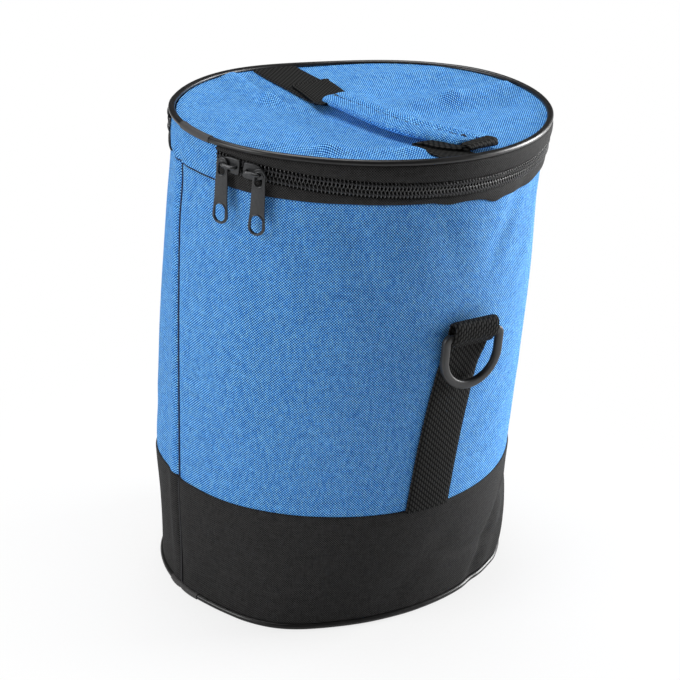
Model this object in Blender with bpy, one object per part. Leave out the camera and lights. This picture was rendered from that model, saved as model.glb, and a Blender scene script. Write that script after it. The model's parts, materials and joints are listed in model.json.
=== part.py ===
"""Insulated cooler bag: an oval soft cooler with a zipped, hinged lid.

Units are metres, +Z is up, and the origin is the centre of the underside.
X runs along the oval. The lid's fabric hinge is at -X, and the side with the
leaning D-ring strap is -Y. Places on the wall are named by the direction of
the wall's outward normal, in degrees about +Z, and by an offset from the
outline: positive is outwards.
"""
import math

import bmesh
import bpy
from mathutils import Matrix, Vector

MM = 0.001
GAP = 0.3 * MM                     # clearance between touching pieces

# Oval outline, drawn through the middle of the piping: four arcs
HALF_LENGTH = 114 * MM             # X
HALF_WIDTH = 96 * MM               # Y
END_RADIUS = 80 * MM
END_CENTRE = HALF_LENGTH - END_RADIUS
FLANK_RADIUS = (END_CENTRE**2 + HALF_WIDTH**2 - END_RADIUS**2) / (2 * (HALF_WIDTH - END_RADIUS))
FLANK_CENTRE = FLANK_RADIUS - HALF_WIDTH
ARC_CHANGE = math.degrees(math.atan2(FLANK_CENTRE, END_CENTRE))

# Heights
LID_PIPING_Z = 294.5 * MM
LID_PANEL_TOP_Z = 293 * MM         # the lid dips inside its piping
ZIP_Z = 284.0 * MM                 # line between the two coils, along the far flank
ZIP_PLANE_Z = 285.1 * MM           # the near half lies in a leaning plane: its height at the centre,
ZIP_PLANE_SLOPE = Vector((-0.0207, 0.0675))   # and how it rises along X and Y
ZIP_LEVEL_Y = 60 * MM              # the zip is level beyond this,
ZIP_LEAN_Y = -20 * MM              # and in the leaning plane on this side
PANEL_TOP_Z = 271.7 * MM
BAND_TOP_Z = 78 * MM
HINGE_SPLIT_Z = 283.2 * MM         # fold of the fabric hinge, just below the hinge axis

# Sheet and foam thicknesses
FABRIC = 1.0 * MM
LINER = 0.6 * MM
TAPE = 0.8 * MM
WALL_FOAM = 5 * MM
LID_FOAM = 3.2 * MM
WEBBING = 1.6 * MM
WEBBING_WIDTH = 30 * MM
PIPING_RADIUS = 1.8 * MM
BINDING_HEIGHT = 7 * MM
LID_BINDING_HEIGHT = 1.4 * MM      # low, so that the sliders pass below it

# Zip: it stops at the two edges of the fabric hinge
HINGE_NEAR_EDGE = -162.0
HINGE_FAR_EDGE = 158.0
COIL_HEIGHT = 4.2 * MM
COIL_DEPTH = 1.3 * MM
COIL_SPLIT = 0.8 * MM              # from the zip line to each coil: the slider's web runs between
SLIDER_LENGTH = 11.6 * MM
SLIDER_PLATE = 1.0 * MM
SLIDER_HALF_HEIGHT = 3.5 * MM
SLIDER_WEB = 1.0 * MM
FRONT_PLATE_OFFSET = COIL_DEPTH + 1.0 * MM
BACK_PLATE_OFFSET = -GAP - TAPE - 0.9 * MM
SLIDER_A_ANGLE = -154.6            # on the end arc
SLIDER_B_ANGLE = -143.3            # on the flank arc, drawn on a little past its end
CROWN_REACH = 4.0 * MM             # leg to middle of the slider
CROWN_WIRE = 0.9 * MM
CROWN_RISE = 2.9 * MM
PULL_LENGTH = 37.5 * MM
PULL_WIDTH = 10 * MM
PULL_THICKNESS = 1.0 * MM

# Straps and D-rings
STRAP_BACK = 0.5 * MM              # webbing's back face, off the flat plane that touches the flank
RING_BAR_Z = 190 * MM
RING_BAR_OUT = 4.6 * MM            # bar's centre, off the same plane
LOOP_RISE = 5.5 * MM               # how far the webbing's loop stands above the bar
RING_BAR_RADIUS = 1.9 * MM
RING_OUTER_RADIUS = 21.2 * MM
RING_SECTION = 5.0 * MM
RING_THICKNESS = 3.8 * MM
FLAT_FACE = math.cos(math.radians(22.5))   # an octagon's flat sides reach the full size
RING_DROP = 34 * MM                # bar's centre to the ring's lowest point
NEAR_STRAP_TOP_SHIFT = 15.9 * MM   # the near strap leans towards +X

# Handle
GRIP_FAR = Vector((-10, 16)) * MM
GRIP_NEAR = Vector((12, -88)) * MM
GRIP_WIDTH = 32 * MM
GRIP_BOTTOM_Z = 298.5 * MM
GRIP_THICKNESS = 8 * MM
FAR_WEB_START = Vector((-6, 89)) * MM
NEAR_WEB_START = Vector((-4, -60)) * MM
NEAR_WEB_END = Vector((2, -89)) * MM

ROUND_STEPS = 60                   # facets round the whole oval

COLOURS = {
    "blue_fabric": ((0.094, 0.275, 0.650), 0.85, 0.0),
    "black_fabric": ((0.030, 0.030, 0.033), 0.80, 0.0),
    "black_webbing": ((0.022, 0.022, 0.024), 0.75, 0.0),
    "piping": ((0.020, 0.020, 0.022), 0.45, 0.0),
    "zipper_coil": ((0.020, 0.020, 0.022), 0.40, 0.0),
    "slider_metal": ((0.055, 0.055, 0.060), 0.38, 0.8),
    "d_ring_plastic": ((0.030, 0.030, 0.032), 0.50, 0.0),
    "foam": ((0.780, 0.780, 0.760), 0.90, 0.0),
    "liner_foil": ((0.620, 0.640, 0.660), 0.30, 0.6),
}


# ---------------------------------------------------------------- scene tools
def clear_scene():
    for obj in list(bpy.data.objects):
        bpy.data.objects.remove(obj, do_unlink=True)


def material(slot):
    found = bpy.data.materials.get(slot)
    if found:
        return found
    colour, roughness, metallic = COLOURS[slot]
    made = bpy.data.materials.new(slot)
    made.use_nodes = True
    shader = made.node_tree.nodes["Principled BSDF"]
    shader.inputs["Base Color"].default_value = (*colour, 1)
    shader.inputs["Roughness"].default_value = roughness
    shader.inputs["Metallic"].default_value = metallic
    made.diffuse_color = (*colour, 1)
    return made


def add_object(name, bm, slot, smooth_angle=40):
    """Make an object of bm, with its faces turned outwards."""
    bmesh.ops.recalc_face_normals(bm, faces=bm.faces)
    mesh = bpy.data.meshes.new(name)
    bm.to_mesh(mesh)
    bm.free()
    mesh.shade_smooth()
    mesh.set_sharp_from_angle(angle=math.radians(smooth_angle))
    obj = bpy.data.objects.new(name, mesh)
    bpy.context.collection.objects.link(obj)
    obj.data.materials.append(material(slot))
    return obj


def set_origin(obj, origin, axes=None):
    """Put obj's origin on its joint: its mesh is written in world places."""
    matrix = Matrix.Translation(origin)
    if axes:
        matrix = matrix @ axes.to_4x4()
    obj.data.transform(matrix.inverted())
    obj.matrix_world = matrix


def cut(obj, cutter):
    """Subtract cutter from obj, and leave cutter as a hidden wire guide."""
    cutter.hide_render = True
    cutter.display_type = "WIRE"
    modifier = obj.modifiers.new("cut " + cutter.name, "BOOLEAN")
    modifier.operation = "DIFFERENCE"
    modifier.solver = "EXACT"
    modifier.object = cutter
    cutter.parent = obj
    cutter.matrix_parent_inverse = obj.matrix_world.inverted()


# ---------------------------------------------------------------- the outline
def radial(angle):
    return Vector((math.cos(math.radians(angle)), math.sin(math.radians(angle))))


def outline(angle, offset=0.0):
    """Point of the oval whose outward normal is at angle, moved out by offset."""
    normal = radial(angle)
    if abs(normal.y) <= math.sin(math.radians(ARC_CHANGE)):
        centre = Vector((math.copysign(END_CENTRE, normal.x), 0))
        return centre + (END_RADIUS + offset) * normal
    centre = Vector((0, -math.copysign(FLANK_CENTRE, normal.y)))
    return centre + (FLANK_RADIUS + offset) * normal


def ring_angles(start=None, end=None):
    """Normal angles for a closed ring, or for a stretch from start to end, with
    the four changes of arc always among them."""
    corners = [-180 + ARC_CHANGE, -ARC_CHANGE, ARC_CHANGE, 180 - ARC_CHANGE]
    if start is None:
        marks = corners + [corners[0] + 360]
    else:
        inner = [c for turn in (0, 360) for c in (k + turn for k in corners)]
        marks = [start] + [c for c in inner if start < c < end] + [end]
    step = 360 / ROUND_STEPS
    angles = []
    for low, high in zip(marks, marks[1:]):
        count = max(1, round((high - low) / step))
        angles += [low + (high - low) * i / count for i in range(count)]
    return angles if start is None else angles + [end]


def zip_height(angle):
    """Height of the zip's centre line where the wall's normal is at angle."""
    spot = outline(angle)
    part = (ZIP_LEVEL_Y - spot.y) / (ZIP_LEVEL_Y - ZIP_LEAN_Y)
    part = min(max(part, 0.0), 1.0)
    weight = part * part * (3 - 2 * part)
    return ZIP_Z + weight * (ZIP_PLANE_Z + ZIP_PLANE_SLOPE.dot(spot) - ZIP_Z)


# ---------------------------------------------------------------- solid shapes
def extrude_loops(bm, loops, closed_round):
    """Skin equal loops of points into one solid: closed_round joins the last
    loop to the first; otherwise both ends get a cap."""
    rows = [[bm.verts.new(p) for p in loop] for loop in loops]
    pairs = list(zip(rows, rows[1:]))
    if closed_round:
        pairs.append((rows[-1], rows[0]))
    else:
        bm.faces.new(rows[0])
        bm.faces.new(rows[-1])
    for first, second in pairs:
        for i in range(len(first)):
            j = (i + 1) % len(first)
            bm.faces.new((first[i], first[j], second[j], second[i]))
    return bm


def wall_band(name, slot, outer, inner, low, high, stretch=None):
    """A band of wall between two offsets and two heights: a whole ring, or the
    stretch between two normal angles. A height may be a function of the angle."""
    angles = ring_angles(*stretch) if stretch else ring_angles()
    loops = []
    for angle in angles:
        a, b = outline(angle, outer), outline(angle, inner)
        bottom = low(angle) if callable(low) else low
        top = high(angle) if callable(high) else high
        loops.append([(*a, bottom), (*a, top), (*b, top), (*b, bottom)])
    return add_object(name, extrude_loops(bmesh.new(), loops, stretch is None), slot)


def oval_plate(name, slot, offset, low, high):
    angles = ring_angles()
    loops = [[(*outline(a, offset), z) for a in angles] for z in (low, high)]
    return add_object(name, extrude_loops(bmesh.new(), loops, False), slot)


def piping(name, height, stretch, radius, squash=1.0, sides=8):
    """Cord sewn along the outline: a round or flattened section swept along it."""
    loops = []
    for angle in ring_angles(*stretch):
        loop = []
        for k in range(sides):
            turn = 2 * math.pi * (k + 0.5) / sides
            spot = outline(angle, radius * squash * math.cos(turn))
            loop.append((*spot, height + radius * math.sin(turn)))
        loops.append(loop)
    return add_object(name, extrude_loops(bmesh.new(), loops, False), "piping")


def arc_points(centre, radius, start, end, steps):
    """Points (u, v) on an arc, from start to end degrees."""
    turns = [math.radians(start + (end - start) * i / steps) for i in range(steps + 1)]
    return [(centre[0] + radius * math.cos(t), centre[1] + radius * math.sin(t)) for t in turns]


def slab(name, slot, start, end, width, low, high, bevel=0.0):
    """A flat strap of the given width, from start to end in plan."""
    along = (end - start).normalized()
    side = Vector((-along.y, along.x)) * width / 2
    plan = [start + side, end + side, end - side, start - side]
    loops = [[(*p, z) for p in plan] for z in (low, high)]
    obj = add_object(name, extrude_loops(bmesh.new(), loops, False), slot)
    if bevel:
        modifier = obj.modifiers.new("rounded edges", "BEVEL")
        modifier.width = bevel
        modifier.segments = 2
    return obj


# ---------------------------------------------------------------- bag body
def build_base():
    inside = -FABRIC - GAP
    foam_top = FABRIC + GAP + WALL_FOAM
    oval_plate("base_panel", "black_fabric", -PIPING_RADIUS - GAP, 0, FABRIC)
    oval_plate("base_foam", "foam", -PIPING_RADIUS - GAP, FABRIC + GAP, foam_top)
    oval_plate("base_liner", "liner_foil", inside - WALL_FOAM - LINER - 2 * GAP,
               foam_top + GAP, foam_top + GAP + LINER)


def build_wall():
    inside = -FABRIC - GAP
    foam_inner = inside - WALL_FOAM
    liner_inner = foam_inner - GAP - LINER
    floor = FABRIC + 2 * GAP + WALL_FOAM
    binding_floor = floor + LINER + GAP
    wall_band("base_band", "black_fabric", 0, -FABRIC, 2 * PIPING_RADIUS + GAP, BAND_TOP_Z)
    wall_band("body_panel", "blue_fabric", 0, -FABRIC, BAND_TOP_Z + GAP, PANEL_TOP_Z)
    wall_band("wall_foam", "foam", inside, foam_inner, floor, PANEL_TOP_Z - GAP)
    wall_band("wall_liner", "liner_foil", foam_inner - GAP, liner_inner, floor, PANEL_TOP_Z - GAP)
    wall_band("base_seam_binding", "black_fabric", liner_inner - GAP, liner_inner - GAP - TAPE,
              binding_floor, binding_floor + BINDING_HEIGHT)
    wall_band("wall_seam_binding", "black_fabric", liner_inner - GAP, liner_inner - GAP - TAPE,
              PANEL_TOP_Z - GAP - BINDING_HEIGHT, PANEL_TOP_Z - GAP)


def build_piping():
    """Each ring of piping is open for 27 mm at the hinge end, where a flat
    sleeve joins its two ends."""
    splice = {"lid": (LID_PIPING_Z, 174.0, 193.5), "base": (PIPING_RADIUS, 176.0, 195.5)}
    for part, (height, start, end) in splice.items():
        small = math.degrees(GAP / END_RADIUS)
        piping(part + "_piping", height, (end - 360 + small, start - small), PIPING_RADIUS)
        piping(part + "_piping_splice", height, (start, end), PIPING_RADIUS, 1.15)


# ---------------------------------------------------------------- lid
def build_lid():
    panel_bottom = LID_PANEL_TOP_Z - FABRIC
    foam_top = panel_bottom - GAP
    foam_bottom = foam_top - LID_FOAM
    edge = -GAP - TAPE - GAP
    oval_plate("lid_panel", "blue_fabric", -PIPING_RADIUS - GAP, panel_bottom, LID_PANEL_TOP_Z)
    wall_band("lid_seam_binding", "black_fabric", edge - 1.0 * MM, edge - 2.3 * MM,
              foam_top - LID_BINDING_HEIGHT, foam_top)
    oval_plate("lid_foam", "foam", edge - 2.6 * MM, foam_bottom, foam_top)
    oval_plate("lid_liner", "liner_foil", edge - 5.1 * MM, foam_bottom - GAP - LINER,
               foam_bottom - GAP)


# ---------------------------------------------------------------- zip and hinge
def above_zip(distance):
    return lambda angle: zip_height(angle) + distance


def build_zip():
    zipped = (HINGE_NEAR_EDGE, HINGE_FAR_EDGE)
    tape = (-GAP, -GAP - TAPE)
    coil_end = COIL_SPLIT + COIL_HEIGHT
    top = LID_PIPING_Z - PIPING_RADIUS - GAP
    wall_band("zipper_tape_lower", "black_fabric", *tape, PANEL_TOP_Z + GAP,
              above_zip(-COIL_SPLIT), zipped)
    wall_band("zipper_coil_lower", "zipper_coil", COIL_DEPTH, 0,
              above_zip(-coil_end), above_zip(-COIL_SPLIT), zipped)
    wall_band("zipper_tape_upper", "black_fabric", *tape, above_zip(COIL_SPLIT), top, zipped)
    wall_band("zipper_coil_upper", "zipper_coil", COIL_DEPTH, 0,
              above_zip(COIL_SPLIT), above_zip(coil_end), zipped)
    edge_gap = math.degrees(GAP / END_RADIUS)
    hinge = (HINGE_FAR_EDGE + edge_gap, HINGE_NEAR_EDGE + 360 - edge_gap)
    wall_band("hinge_panel", "blue_fabric", 0, -FABRIC, PANEL_TOP_Z + GAP,
              HINGE_SPLIT_Z - GAP, hinge)
    wall_band("hinge_flap", "blue_fabric", 0, -FABRIC, HINGE_SPLIT_Z + GAP, top, hinge)


def slider_frame(angle, on_flank, level=False):
    """Axes at a slider: x along the zip, y outwards from the wall. A level
    frame ignores the lean of the zip: it is for what hangs from the slider."""
    normal = radial(angle)
    if on_flank:
        spot = Vector((0, FLANK_CENTRE)) + FLANK_RADIUS * normal
    else:
        spot = Vector((-END_CENTRE, 0)) + END_RADIUS * normal
    along = Vector((-normal.y, normal.x))
    rise = 0 if level else ZIP_PLANE_SLOPE.dot(along)
    x_axis = Vector((*along, rise)).normalized()
    y_axis = Vector((*normal, 0))
    turn = Matrix((x_axis, y_axis, y_axis.cross(x_axis))).transposed()
    height = ZIP_PLANE_Z + ZIP_PLANE_SLOPE.dot(spot)
    return Matrix.Translation((*spot, height)) @ turn.to_4x4()


def slider_body(name, frame):
    """Two plates joined by a web that runs between the coils."""
    half = SLIDER_LENGTH / 2
    front, back = FRONT_PLATE_OFFSET, BACK_PLATE_OFFSET
    h, w, t = SLIDER_HALF_HEIGHT, SLIDER_WEB / 2, SLIDER_PLATE
    profile = [(front, -h), (front + t, -h), (front + t, h), (front, h), (front, w), (back, w),
               (back, h), (back - t, h), (back - t, -h), (back, -h), (back, -w), (front, -w)]
    loops = [[frame @ Vector((x, y, z)) for y, z in profile] for x in (-half, half)]
    obj = add_object(name, extrude_loops(bmesh.new(), loops, False), "slider_metal")
    bevel = obj.modifiers.new("edge radius", "BEVEL")
    bevel.width = 0.25 * MM
    bevel.segments = 1
    return obj


def slider_crown(name, frame):
    """Wire arch along the slider's front plate; the pull hangs on one leg."""
    foot = FRONT_PLATE_OFFSET + SLIDER_PLATE + GAP
    top = foot + CROWN_RISE
    bend = 1.4 * MM
    reach = CROWN_REACH
    path = [(-reach, foot), *arc_points((-reach + bend, top - bend), bend, 180, 90, 4),
            *arc_points((reach - bend, top - bend), bend, 90, 0, 4), (reach, foot)]
    loops = []
    for i, point in enumerate(path):
        before = Vector(path[max(i - 1, 0)])
        after = Vector(path[min(i + 1, len(path) - 1)])
        along = (after - before).normalized()
        across = Vector((-along.y, along.x))
        loop = []
        for k in range(8):
            turn = 2 * math.pi * k / 8
            spot = Vector(point) + across * CROWN_WIRE * math.cos(turn)
            loop.append(frame @ Vector((spot.x, spot.y, CROWN_WIRE * math.sin(turn))))
        loops.append(loop)
    return add_object(name, extrude_loops(bmesh.new(), loops, False), "slider_metal")


def oblong(centre_z, width, height, steps=6):
    """Outline (x, z) of a slot with round ends."""
    r = width / 2
    straight = height / 2 - r
    upper = arc_points((0, centre_z + straight), r, 0, 180, steps)
    lower = arc_points((0, centre_z - straight), r, 180, 360, steps)
    return upper + lower


def pull_tab(name, frame):
    """Flat tab, hung from the frame's origin, with a hole for the crown's leg
    and a finger hole below."""
    top = CROWN_WIRE + GAP + 2.2 * MM
    plane = FRONT_PLATE_OFFSET + SLIDER_PLATE + 0.7 * MM
    outline_points = oblong(top - PULL_LENGTH / 2, PULL_WIDTH, PULL_LENGTH, 8)
    leg_hole = oblong(CROWN_WIRE + GAP - 3.5 * MM, 2.8 * MM, 7 * MM)
    finger_hole = oblong(top - PULL_LENGTH + 1.6 * MM + 5 * MM, 6.6 * MM, 10 * MM)

    def plate(plate_name, points, low, high):
        loops = [[frame @ Vector((x, y, z)) for x, z in points] for y in (low, high)]
        return add_object(plate_name, extrude_loops(bmesh.new(), loops, False), "slider_metal")

    tab = plate(name, outline_points, plane, plane + PULL_THICKNESS)
    set_origin(tab, frame @ Vector((0, plane, 0)), frame.to_3x3())
    over = 1 * MM
    for hole_name, points in (("leg_hole", leg_hole), ("finger_hole", finger_hole)):
        cutter = plate(f"cutter_{name}_{hole_name}", points, plane - over,
                       plane + PULL_THICKNESS + over)
        cut(tab, cutter)
    return tab


def build_sliders():
    for letter, angle, on_flank, side in (("a", SLIDER_A_ANGLE, False, -1),
                                          ("b", SLIDER_B_ANGLE, True, 1)):
        frame = slider_frame(angle, on_flank)
        body = slider_body("slider_" + letter, frame)
        arc_centre = Vector((0, FLANK_CENTRE)) if on_flank else Vector((-END_CENTRE, 0))
        centre_z = ZIP_PLANE_Z + ZIP_PLANE_SLOPE.dot(arc_centre)
        set_origin(body, Vector((*arc_centre, centre_z)))
        slider_crown(f"slider_{letter}_crown", frame)
        leg = frame @ Vector((side * CROWN_REACH, 0, 0))
        hanging = slider_frame(angle, on_flank, level=True)
        hanging.translation = leg
        pull_tab("pull_" + letter, hanging)


# ---------------------------------------------------------------- D-rings
def strap_profile():
    """Side view (out, up) of a strap: webbing up the wall, then one tall turn
    that holds the ring's bar in its bottom."""
    loop_radius = RING_BAR_RADIUS + GAP + WEBBING
    bar = (RING_BAR_OUT, RING_BAR_Z)
    crest = (RING_BAR_OUT, RING_BAR_Z + LOOP_RISE)
    front = STRAP_BACK + WEBBING
    meet = math.degrees(math.asin((RING_BAR_OUT - front) / loop_radius))
    start = BAND_TOP_Z + 1.2 * MM
    points = [(STRAP_BACK, start), (STRAP_BACK, RING_BAR_Z + LOOP_RISE)]
    points += arc_points(crest, loop_radius, 165, 0, 8)
    points += arc_points(bar, loop_radius, 0, -90 - meet, 8)
    return points + [(front, start)]


def strap(name, side, top_shift):
    """side is -1 for the near flank and +1 for the far one."""
    lean = top_shift / (RING_BAR_Z - BAND_TOP_Z)

    def place(x, out, up):
        shift = lean * (min(up, RING_BAR_Z) - BAND_TOP_Z)
        return Vector((x + shift, side * (HALF_WIDTH + out), up))

    half = WEBBING_WIDTH / 2
    loops = [[place(x, *p) for p in strap_profile()] for x in (-half, half)]
    obj = add_object(name, extrude_loops(bmesh.new(), loops, False), "black_webbing")
    crest = (RING_BAR_OUT, RING_BAR_Z + LOOP_RISE)
    hole_points = arc_points(crest, RING_BAR_RADIUS + GAP, 0, 180, 6)
    hole_points += arc_points((RING_BAR_OUT, RING_BAR_Z), RING_BAR_RADIUS + GAP, 180, 360, 6)
    over = half + 1 * MM
    loops = [[place(x, *p) for p in hole_points] for x in (-over, over)]
    cutter = add_object(f"cutter_{name}_loop", extrude_loops(bmesh.new(), loops, False),
                        "black_webbing")
    cut(obj, cutter)
    return obj


def d_ring(name, side, centre_x):
    """D shape in a plane parallel to X and Z: a round bar held by the strap,
    and a flat-faced bow below it."""
    middle = RING_OUTER_RADIUS - RING_SECTION / 2
    low_centre = RING_BAR_Z - RING_DROP + RING_OUTER_RADIUS
    corner = 2.6 * MM
    half_bar = WEBBING_WIDTH / 2 + 0.5 * MM
    path = arc_points((0, low_centre), middle, 180, 360, 18)
    path += arc_points((middle - corner, RING_BAR_Z - corner), corner, 0, 90, 4)
    path += [(half_bar, RING_BAR_Z), (-half_bar, RING_BAR_Z)]
    path += arc_points((-middle + corner, RING_BAR_Z - corner), corner, 90, 180, 4)
    plane_y = side * (HALF_WIDTH + RING_BAR_OUT)
    loops = []
    for i, (x, z) in enumerate(path):
        before, after = Vector(path[i - 1]), Vector(path[(i + 1) % len(path)])
        along = (after - before).normalized()
        across = Vector((-along.y, along.x))
        on_bar = abs(x) == half_bar
        wide = RING_BAR_RADIUS if on_bar else RING_SECTION / 2
        deep = RING_BAR_RADIUS if on_bar else RING_THICKNESS / 2
        loop = []
        for k in range(8):
            turn = math.radians(45 * k + 22.5)
            u, v = math.cos(turn), math.sin(turn)
            if not on_bar:
                u, v = u / FLAT_FACE, v / FLAT_FACE
            spot = Vector((x, z)) + across * wide * u
            loop.append((centre_x + spot.x, plane_y + deep * v, spot.y))
        loops.append(loop)
    obj = add_object(name, extrude_loops(bmesh.new(), loops, True), "d_ring_plastic")
    set_origin(obj, Vector((centre_x, plane_y, RING_BAR_Z)))
    return obj


def build_straps():
    strap("d_ring_strap_near", -1, NEAR_STRAP_TOP_SHIFT)
    strap("d_ring_strap_far", 1, 0)
    d_ring("d_ring_near", -1, NEAR_STRAP_TOP_SHIFT)
    d_ring("d_ring_far", 1, 0)


# ---------------------------------------------------------------- handle
def build_handle():
    """One webbing strap: its two ends lie on the lid, its middle runs through
    the grip's sleeve."""
    along = (GRIP_NEAR - GRIP_FAR).normalized()
    lid_top = LID_PANEL_TOP_Z + GAP
    slab("handle_web_far", "black_webbing", FAR_WEB_START, GRIP_FAR - along * 4 * MM,
         WEBBING_WIDTH, lid_top, lid_top + WEBBING)
    slab("handle_web_near", "black_webbing", NEAR_WEB_START, NEAR_WEB_END,
         WEBBING_WIDTH, lid_top, lid_top + WEBBING)
    core_low = GRIP_BOTTOM_Z + (GRIP_THICKNESS - WEBBING) / 2
    slab("handle_core", "black_webbing", GRIP_FAR - along * 3 * MM, GRIP_NEAR + along * 3 * MM,
         WEBBING_WIDTH - 4 * MM, core_low, core_low + WEBBING)
    grip = slab("handle_grip", "blue_fabric", GRIP_FAR, GRIP_NEAR, GRIP_WIDTH,
                GRIP_BOTTOM_Z, GRIP_BOTTOM_Z + GRIP_THICKNESS, 3 * MM)
    cutter = slab("cutter_handle_grip_sleeve", "blue_fabric", GRIP_FAR - along * 5 * MM,
                  GRIP_NEAR + along * 5 * MM, WEBBING_WIDTH - 4 * MM + 2 * GAP,
                  core_low - GAP, core_low + WEBBING + GAP)
    cut(grip, cutter)


def main():
    clear_scene()
    build_base()
    build_wall()
    build_piping()
    build_lid()
    build_zip()
    build_sliders()
    build_straps()
    build_handle()


main()
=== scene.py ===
"""Insulated cooler bag: the pieces that are seen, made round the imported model.

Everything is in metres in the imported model's frame: +Z is up, X runs along the
oval, the lid's fabric hinge is at -X and the leaning D-ring strap is at -Y.
Places on the wall are named, as in the part's source, by the direction of the
wall's outward normal in degrees about +Z, and by an offset from the outline.
"""
import json
import math

import bmesh
import bpy
import numpy as np
from mathutils import Matrix, Vector


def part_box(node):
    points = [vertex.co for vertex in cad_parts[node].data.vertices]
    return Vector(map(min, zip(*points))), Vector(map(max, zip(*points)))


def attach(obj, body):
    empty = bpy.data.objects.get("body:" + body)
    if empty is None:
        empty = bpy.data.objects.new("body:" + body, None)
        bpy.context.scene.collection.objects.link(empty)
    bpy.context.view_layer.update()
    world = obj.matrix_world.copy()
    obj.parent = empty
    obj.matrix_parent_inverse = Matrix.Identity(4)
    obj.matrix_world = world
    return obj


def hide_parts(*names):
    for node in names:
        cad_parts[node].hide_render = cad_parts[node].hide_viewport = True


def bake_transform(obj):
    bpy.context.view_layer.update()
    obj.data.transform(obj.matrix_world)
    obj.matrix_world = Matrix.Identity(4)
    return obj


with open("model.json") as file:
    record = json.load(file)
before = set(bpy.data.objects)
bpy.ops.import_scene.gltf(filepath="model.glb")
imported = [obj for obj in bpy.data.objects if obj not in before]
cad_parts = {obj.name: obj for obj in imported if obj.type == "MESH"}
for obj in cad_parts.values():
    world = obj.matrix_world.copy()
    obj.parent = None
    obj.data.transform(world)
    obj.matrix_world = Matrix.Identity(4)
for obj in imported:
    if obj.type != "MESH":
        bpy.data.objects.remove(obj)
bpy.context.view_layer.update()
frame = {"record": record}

MM = 0.001
GAP = 0.3 * MM

# Oval outline, the same four arcs as in the part's source
HALF_LENGTH = 114 * MM
HALF_WIDTH = 96 * MM
END_RADIUS = 80 * MM
END_CENTRE = HALF_LENGTH - END_RADIUS
FLANK_RADIUS = (END_CENTRE**2 + HALF_WIDTH**2 - END_RADIUS**2) / (2 * (HALF_WIDTH - END_RADIUS))
FLANK_CENTRE = FLANK_RADIUS - HALF_WIDTH
ARC_CHANGE = math.atan2(FLANK_CENTRE, END_CENTRE)

FABRIC = 1.0 * MM
LINER = 0.6 * MM
TAPE = 0.8 * MM
WALL_FOAM = 5 * MM
WEBBING = 1.6 * MM
WEBBING_WIDTH = 30 * MM
PIPING_RADIUS = 1.8 * MM
BACK_SEAM = 177.0                  # normal angle of the wall's vertical seam
SEAM_REACH, SEAM_STEP = 13.2 * MM, 0.8 * MM    # columns this near to the seam are this close


def node_box(name):
    """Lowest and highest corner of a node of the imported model."""
    low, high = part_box(name)
    return np.array(low), np.array(high)


def node_heights(name):
    """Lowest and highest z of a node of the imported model."""
    return tuple(corner[2] for corner in node_box(name))


JOINTS = {joint["name"]: joint for joint in frame["record"]["behaviour"]["joints"]}
PANEL_LOW, PANEL_TOP = node_heights("body_panel")
BAND_LOW, BAND_TOP = node_heights("base_band")
LID_TOP = node_heights("lid_panel")[1]
LID_PIPE_Z = sum(node_heights("lid_piping")) / 2
BASE_PIPE_Z = sum(node_heights("base_piping")) / 2


# ---------------------------------------------------------------- the outline
def outline(angle, offset=0.0):
    """Points (x, y) of the oval whose outward normals are at the angles."""
    turn = np.radians(angle)
    nx, ny = np.cos(turn), np.sin(turn)
    on_end = np.abs(ny) <= math.sin(ARC_CHANGE)
    centre_x = np.where(on_end, np.copysign(END_CENTRE, nx), 0)
    centre_y = np.where(on_end, 0, -np.copysign(FLANK_CENTRE, ny))
    radius = np.where(on_end, END_RADIUS, FLANK_RADIUS) + offset
    return np.stack((centre_x + radius * nx, centre_y + radius * ny), -1)


def outward(angle):
    """Unit vectors out of the wall at the angles."""
    turn = np.radians(angle)
    return np.stack((np.cos(turn), np.sin(turn), np.zeros_like(turn)), -1)


def run_lengths(path):
    """Distance along a path at each of its points."""
    return np.concatenate(([0], np.cumsum(np.linalg.norm(np.diff(path, axis=0), axis=1))))


FINE_ANGLE = np.linspace(BACK_SEAM - 360, BACK_SEAM, 7201)
FINE_ARC = run_lengths(outline(FINE_ANGLE))
GIRTH = FINE_ARC[-1]


def arc_at(angle):
    """Distance round the outline from the back seam, anticlockwise from above."""
    return np.interp((np.asarray(angle) - BACK_SEAM) % 360 + BACK_SEAM - 360, FINE_ANGLE, FINE_ARC)


def angle_at(arc):
    return np.interp(arc, FINE_ARC, FINE_ANGLE)


def round_angles(step):
    """Angles of evenly spaced columns once round, from the back seam."""
    count = round(GIRTH / step)
    return angle_at(np.arange(count) * GIRTH / count)


def round_arcs(step):
    """Distances of columns once round from the back seam, closer together near it."""
    near = np.arange(0, SEAM_REACH, SEAM_STEP)
    count = round((GIRTH - 2 * SEAM_REACH) / step)
    rest = np.linspace(SEAM_REACH, GIRTH - SEAM_REACH, count)
    return np.concatenate((near, rest, GIRTH - near[:0:-1]))


def stretch_angles(start, end, step):
    """Angles of evenly spaced columns from start to end, which may pass the seam."""
    arcs = arc_at(start), arc_at(end)
    length = (arcs[1] - arcs[0]) % GIRTH
    count = max(2, round(length / step))
    spots = arcs[0] + length * np.arange(count + 1) / count
    return angle_at(spots % GIRTH) + 360 * np.floor(spots / GIRTH), spots


def smooth_step(low, high, value):
    part = np.clip((value - low) / (high - low), 0, 1)
    return part * part * (3 - 2 * part)


def hump(value, centre, width):
    return np.exp(-((value - centre) / width) ** 2)


def turned(angle, centre):
    """Signed angle from centre, between -180 and 180."""
    return (np.asarray(angle) - centre + 180) % 360 - 180


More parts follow.
